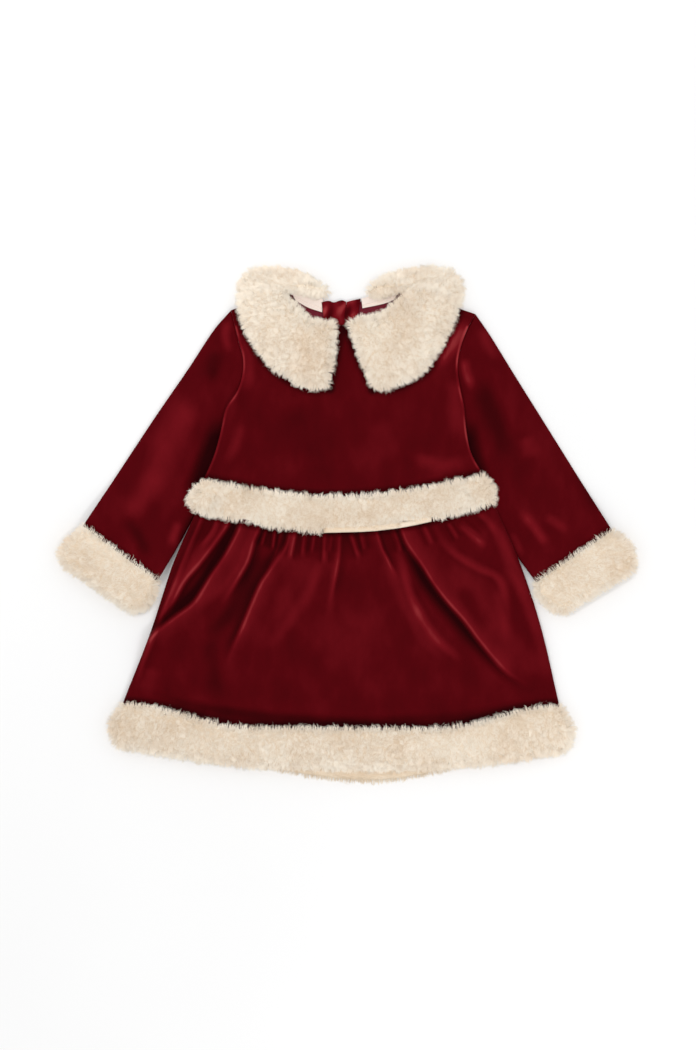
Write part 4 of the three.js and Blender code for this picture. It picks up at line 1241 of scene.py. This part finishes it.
def build_cuff(side):
    rows = SLEEVES[side]
    outer, inner = even_edge(rows["cuff_outer"]), even_edge(rows["cuff_inner"])
    middle = CUFF_HEIGHT / 2

    def flat(u, v):
        w = mix(0.0, 1 - CUFF_SHRINK / CUFF_LENGTH, v)
        a, b = outer(w), inner(w)
        inset = CUFF_SHRINK / apart(a, b)
        x, y = between(a, b, mix(inset, 1 - inset, u))
        return x, y - CUFF_BOW * np.sin(np.pi * w) * np.sin(np.pi * u) * 0.2

    def thinner(v):
        return 1 - np.sqrt(np.clip(1 - np.abs(2 * v - 1) ** 3, 0, 1))

    def low(u, v):
        return 1.2 + 2.6 * thinner(v)

    def high(u, v):
        return CUFF_HEIGHT - 2.6 - 3.6 * thinner(v)

    tube = flat_tube(flat, low, high, CUFF_ROUND, CUFF_BASE_WALL, 24, shares(20),
                     bore=(middle - CUFF_SLIT / 2, middle + CUFF_SLIT / 2))
    centre = np.mean(rows["cuff_outer"] + rows["cuff_inner"], axis=0)
    away = centre / np.linalg.norm(centre) * CUFF_FLOW
    plush_piece("cuff_" + side, tube, flat_size=(0.19, 0.045), area=0.0076, rests_on=["floor"],
                count=18000, length=6.2, seed=21, flow=steady(*away))


# The smooth turned edge under the middle of the waist band: its ends, width and thickness, how far
# it hangs below the seam, and over what stretch the pile comes back
TURNED_FROM = -24
TURNED_TO = 84
TURNED_WIDTH = 5.4
TURNED_THICK = 2.4
TURNED_RIM = 0.6
TURNED_BELOW = 0.7
PILE_BACK = (4.5, 7.5)


def waist_seam(x):
    seam_x, seam_y = WAIST_BOTTOM(shares(79))
    return np.interp(x, seam_x, seam_y)


def no_pile_on_turn(x, y):
    ends = ease(x, TURNED_FROM - 5, TURNED_FROM + 2) * (1 - ease(x, TURNED_TO - 2, TURNED_TO + 5))
    return 1 - ends * (1 - ease(y - waist_seam(x), *PILE_BACK))


def turned_edge():
    def flat(u, v):
        x = mix(TURNED_FROM, TURNED_TO, u) + 0 * v
        return x, waist_seam(x) + mix(TURNED_WIDTH - TURNED_BELOW, -TURNED_BELOW, v)

    made = plush_strip(flat, lambda x, y: skirt_top(x, y) + SEAM, TURNED_THICK, 80, 8, rim=TURNED_RIM)
    strip = mesh_object("plush_waist_turned_edge", *made, PLUSH_BASE)
    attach(strip, "root")
    return strip


def level(height):
    return lambda x, y: np.full(np.shape(x), height)


def build_waist_band():
    waist = patch(WAIST_TOP, WAIST_BOTTOM, *WAIST_ENDS)
    front = plush_strip(waist, lambda x, y: lift(x, y) + WAIST_UNDER, FRONT_PLUSH, 110, 18, shrink=4.0)
    plush_piece("waist_trim_front", front, flat_size=(0.31, 0.042), area=0.0112,
                rests_on=["cloth_bodice_back_left", "cloth_skirt_back"], extra=[turned_edge()],
                count=36000, length=6.0, seed=31, flow=steady(0, -0.15), skip=no_pile_on_turn)
    back = plush_strip(lambda u, v: waist(mix(0.02, 0.98, u), v),
                       lambda x, y: lift(x, y) + BASE_FLOOR, BACK_BASE, 60, 8, shrink=1.5)
    plush_piece("waist_trim_back", back, flat_size=(0.3, 0.042), area=0.0105, rests_on=["floor"],
                count=2500, length=3.0, seed=32)


BACK_HEM_SHOWS = -215  # below this the back hem's pile isn't under the front hem


def build_hem():
    hem = patch(HEM_TOP, HEM_BOTTOM, *HEM_ENDS)
    front = plush_strip(hem, level(HEM_UNDER), HEM_PLUSH, 140, 20, shrink=4.2)
    plush_piece("hem_trim_front", front, flat_size=(0.46, 0.052), area=0.0215,
                rests_on=["plush_hem_trim_back"],
                count=54000, length=6.2, seed=33, flow=steady(0, -0.35))
    back_hem = patch(HEM_TOP, BACK_HEM_BOTTOM, *BACK_HEM_ENDS)
    back = plush_strip(back_hem, level(BASE_FLOOR), BACK_BASE, 90, 10, shrink=2.2)
    # the back hem's pile uses the plush with painted shade
    plush_piece("hem_trim_back", back, flat_size=(0.46, 0.058), area=0.0245, rests_on=["floor"],
                fibre=PLUSH_PAINTED_SHADE, count=12000, length=4.6, seed=34, flow=steady(0, -0.4),
                skip=lambda x, y: (y < BACK_HEM_SHOWS) * 1.0)


# The collar lies on the bodice and rolls over the shoulder line behind it
COLLAR_ABOVE = 0.8
SHOULDER_LINE = 233
SHOULDER_SLOPE = 0.32
ROLLED_OVER = (3.5, 14)  # how far behind the line the roll goes down
COLLAR_SHRINK = 5.2
NECK_SHRINK = 0.6


def collar_under(x, y):
    over = bodice_top(x, y) + COLLAR_ABOVE
    shoulder = SHOULDER_LINE - np.maximum(0, np.abs(x + 2) - 59) * SHOULDER_SLOPE
    return over * (1 - ease(y - shoulder, *ROLLED_OVER))


def neck_shrink(u):
    """How far the collar's base is drawn in along the neck, from the centre front to the back."""
    front = NECK_SHRINK + COLLAR_SHRINK * ease(u, 0.05, 0.24)
    return mix(front, 0.2, ease(u, 0.54, 0.64))


def shoulder_dip(u):
    return -2.2 * swell((u - 0.62) / 0.1)


def build_collar(side):
    neck, rim = even_edge(COLLARS[side]["inner"]), even_edge(COLLARS[side]["outer"])

    def flat(u, v):
        return between(neck(u), rim(u), v)

    made = plush_strip(flat, collar_under, COLLAR_PLUSH, 90, 26, ends=0.09, lump=shoulder_dip,
                       shrink=COLLAR_SHRINK, first=neck_shrink)
    plush_piece("collar_" + side, made, flat_size=(0.19, 0.075), area=0.0103,
                rests_on=["cloth_bodice_front"], count=34000, length=6.3, seed=41, flow=outwards)


# Painted sheen and painted shade of a crumpled placket: lighter than the rest of the velvet, unevenly
def crumpled_painted_light(x, y):
    return 0.35 + 0.9 * ripple(x, y, 53, 11)


# Plackets: the upper and the lower edge, the flat size and the seed of its waves
PLACKETS = {
    "left": (edge([(0, -26, 222.5), (0.3, -19, 224), (0.5, -13.5, 222.4), (0.8, -6, 224.6),
                   (1, -1.2, 223)]), line((-22.5, 196.5), (-3, 194)), (0.025, 0.028), 51),
    "right": (line((-0.8, 223), (13.2, 226.3)), line((-2.6, 194), (8.5, 197.5)), (0.014, 0.03), 52),
}


def build_placket(side):
    top, bottom, flat_size, seed = PLACKETS[side]
    made = flat_piece(top, bottom, PLACKET, wave=0.7, seed=seed)
    cloth("cloth_placket_" + side, made, VELVET,
          painted_light=crumpled_painted_light)


# Neck tapes: the upper and the lower edge of each, from left to right
TAPES = {
    "left": ([(0, -60, 238), (0.5, -42, 232), (1, -24, 225.5)],
             [(0, -52, 224.5), (0.5, -40, 217.5), (1, -25.5, 212.5)]),
    "right": ([(0, 13.8, 226), (0.5, 35, 232.5), (1, 56, 239)],
              [(0, 15, 216.5), (0.5, 36, 221), (1, 46.5, 225)]),
}


def build_tape(side):
    top, bottom = (edge(rows) for rows in TAPES[side])
    made = flat_piece(top, bottom, TAPE, rows=36, fold=0.7)
    cloth("cloth_neck_tape_" + side, made, TAPE_CREAM)


place_camera()
build_stage()
build_bodice()
build_skirt()
for side in SIDES:
    build_sleeve(side)
    build_cuff(side)
    build_collar(side)
build_waist_band()
build_hem()
for build in (build_placket, build_tape):
    for side in SIDES:
        build(side)
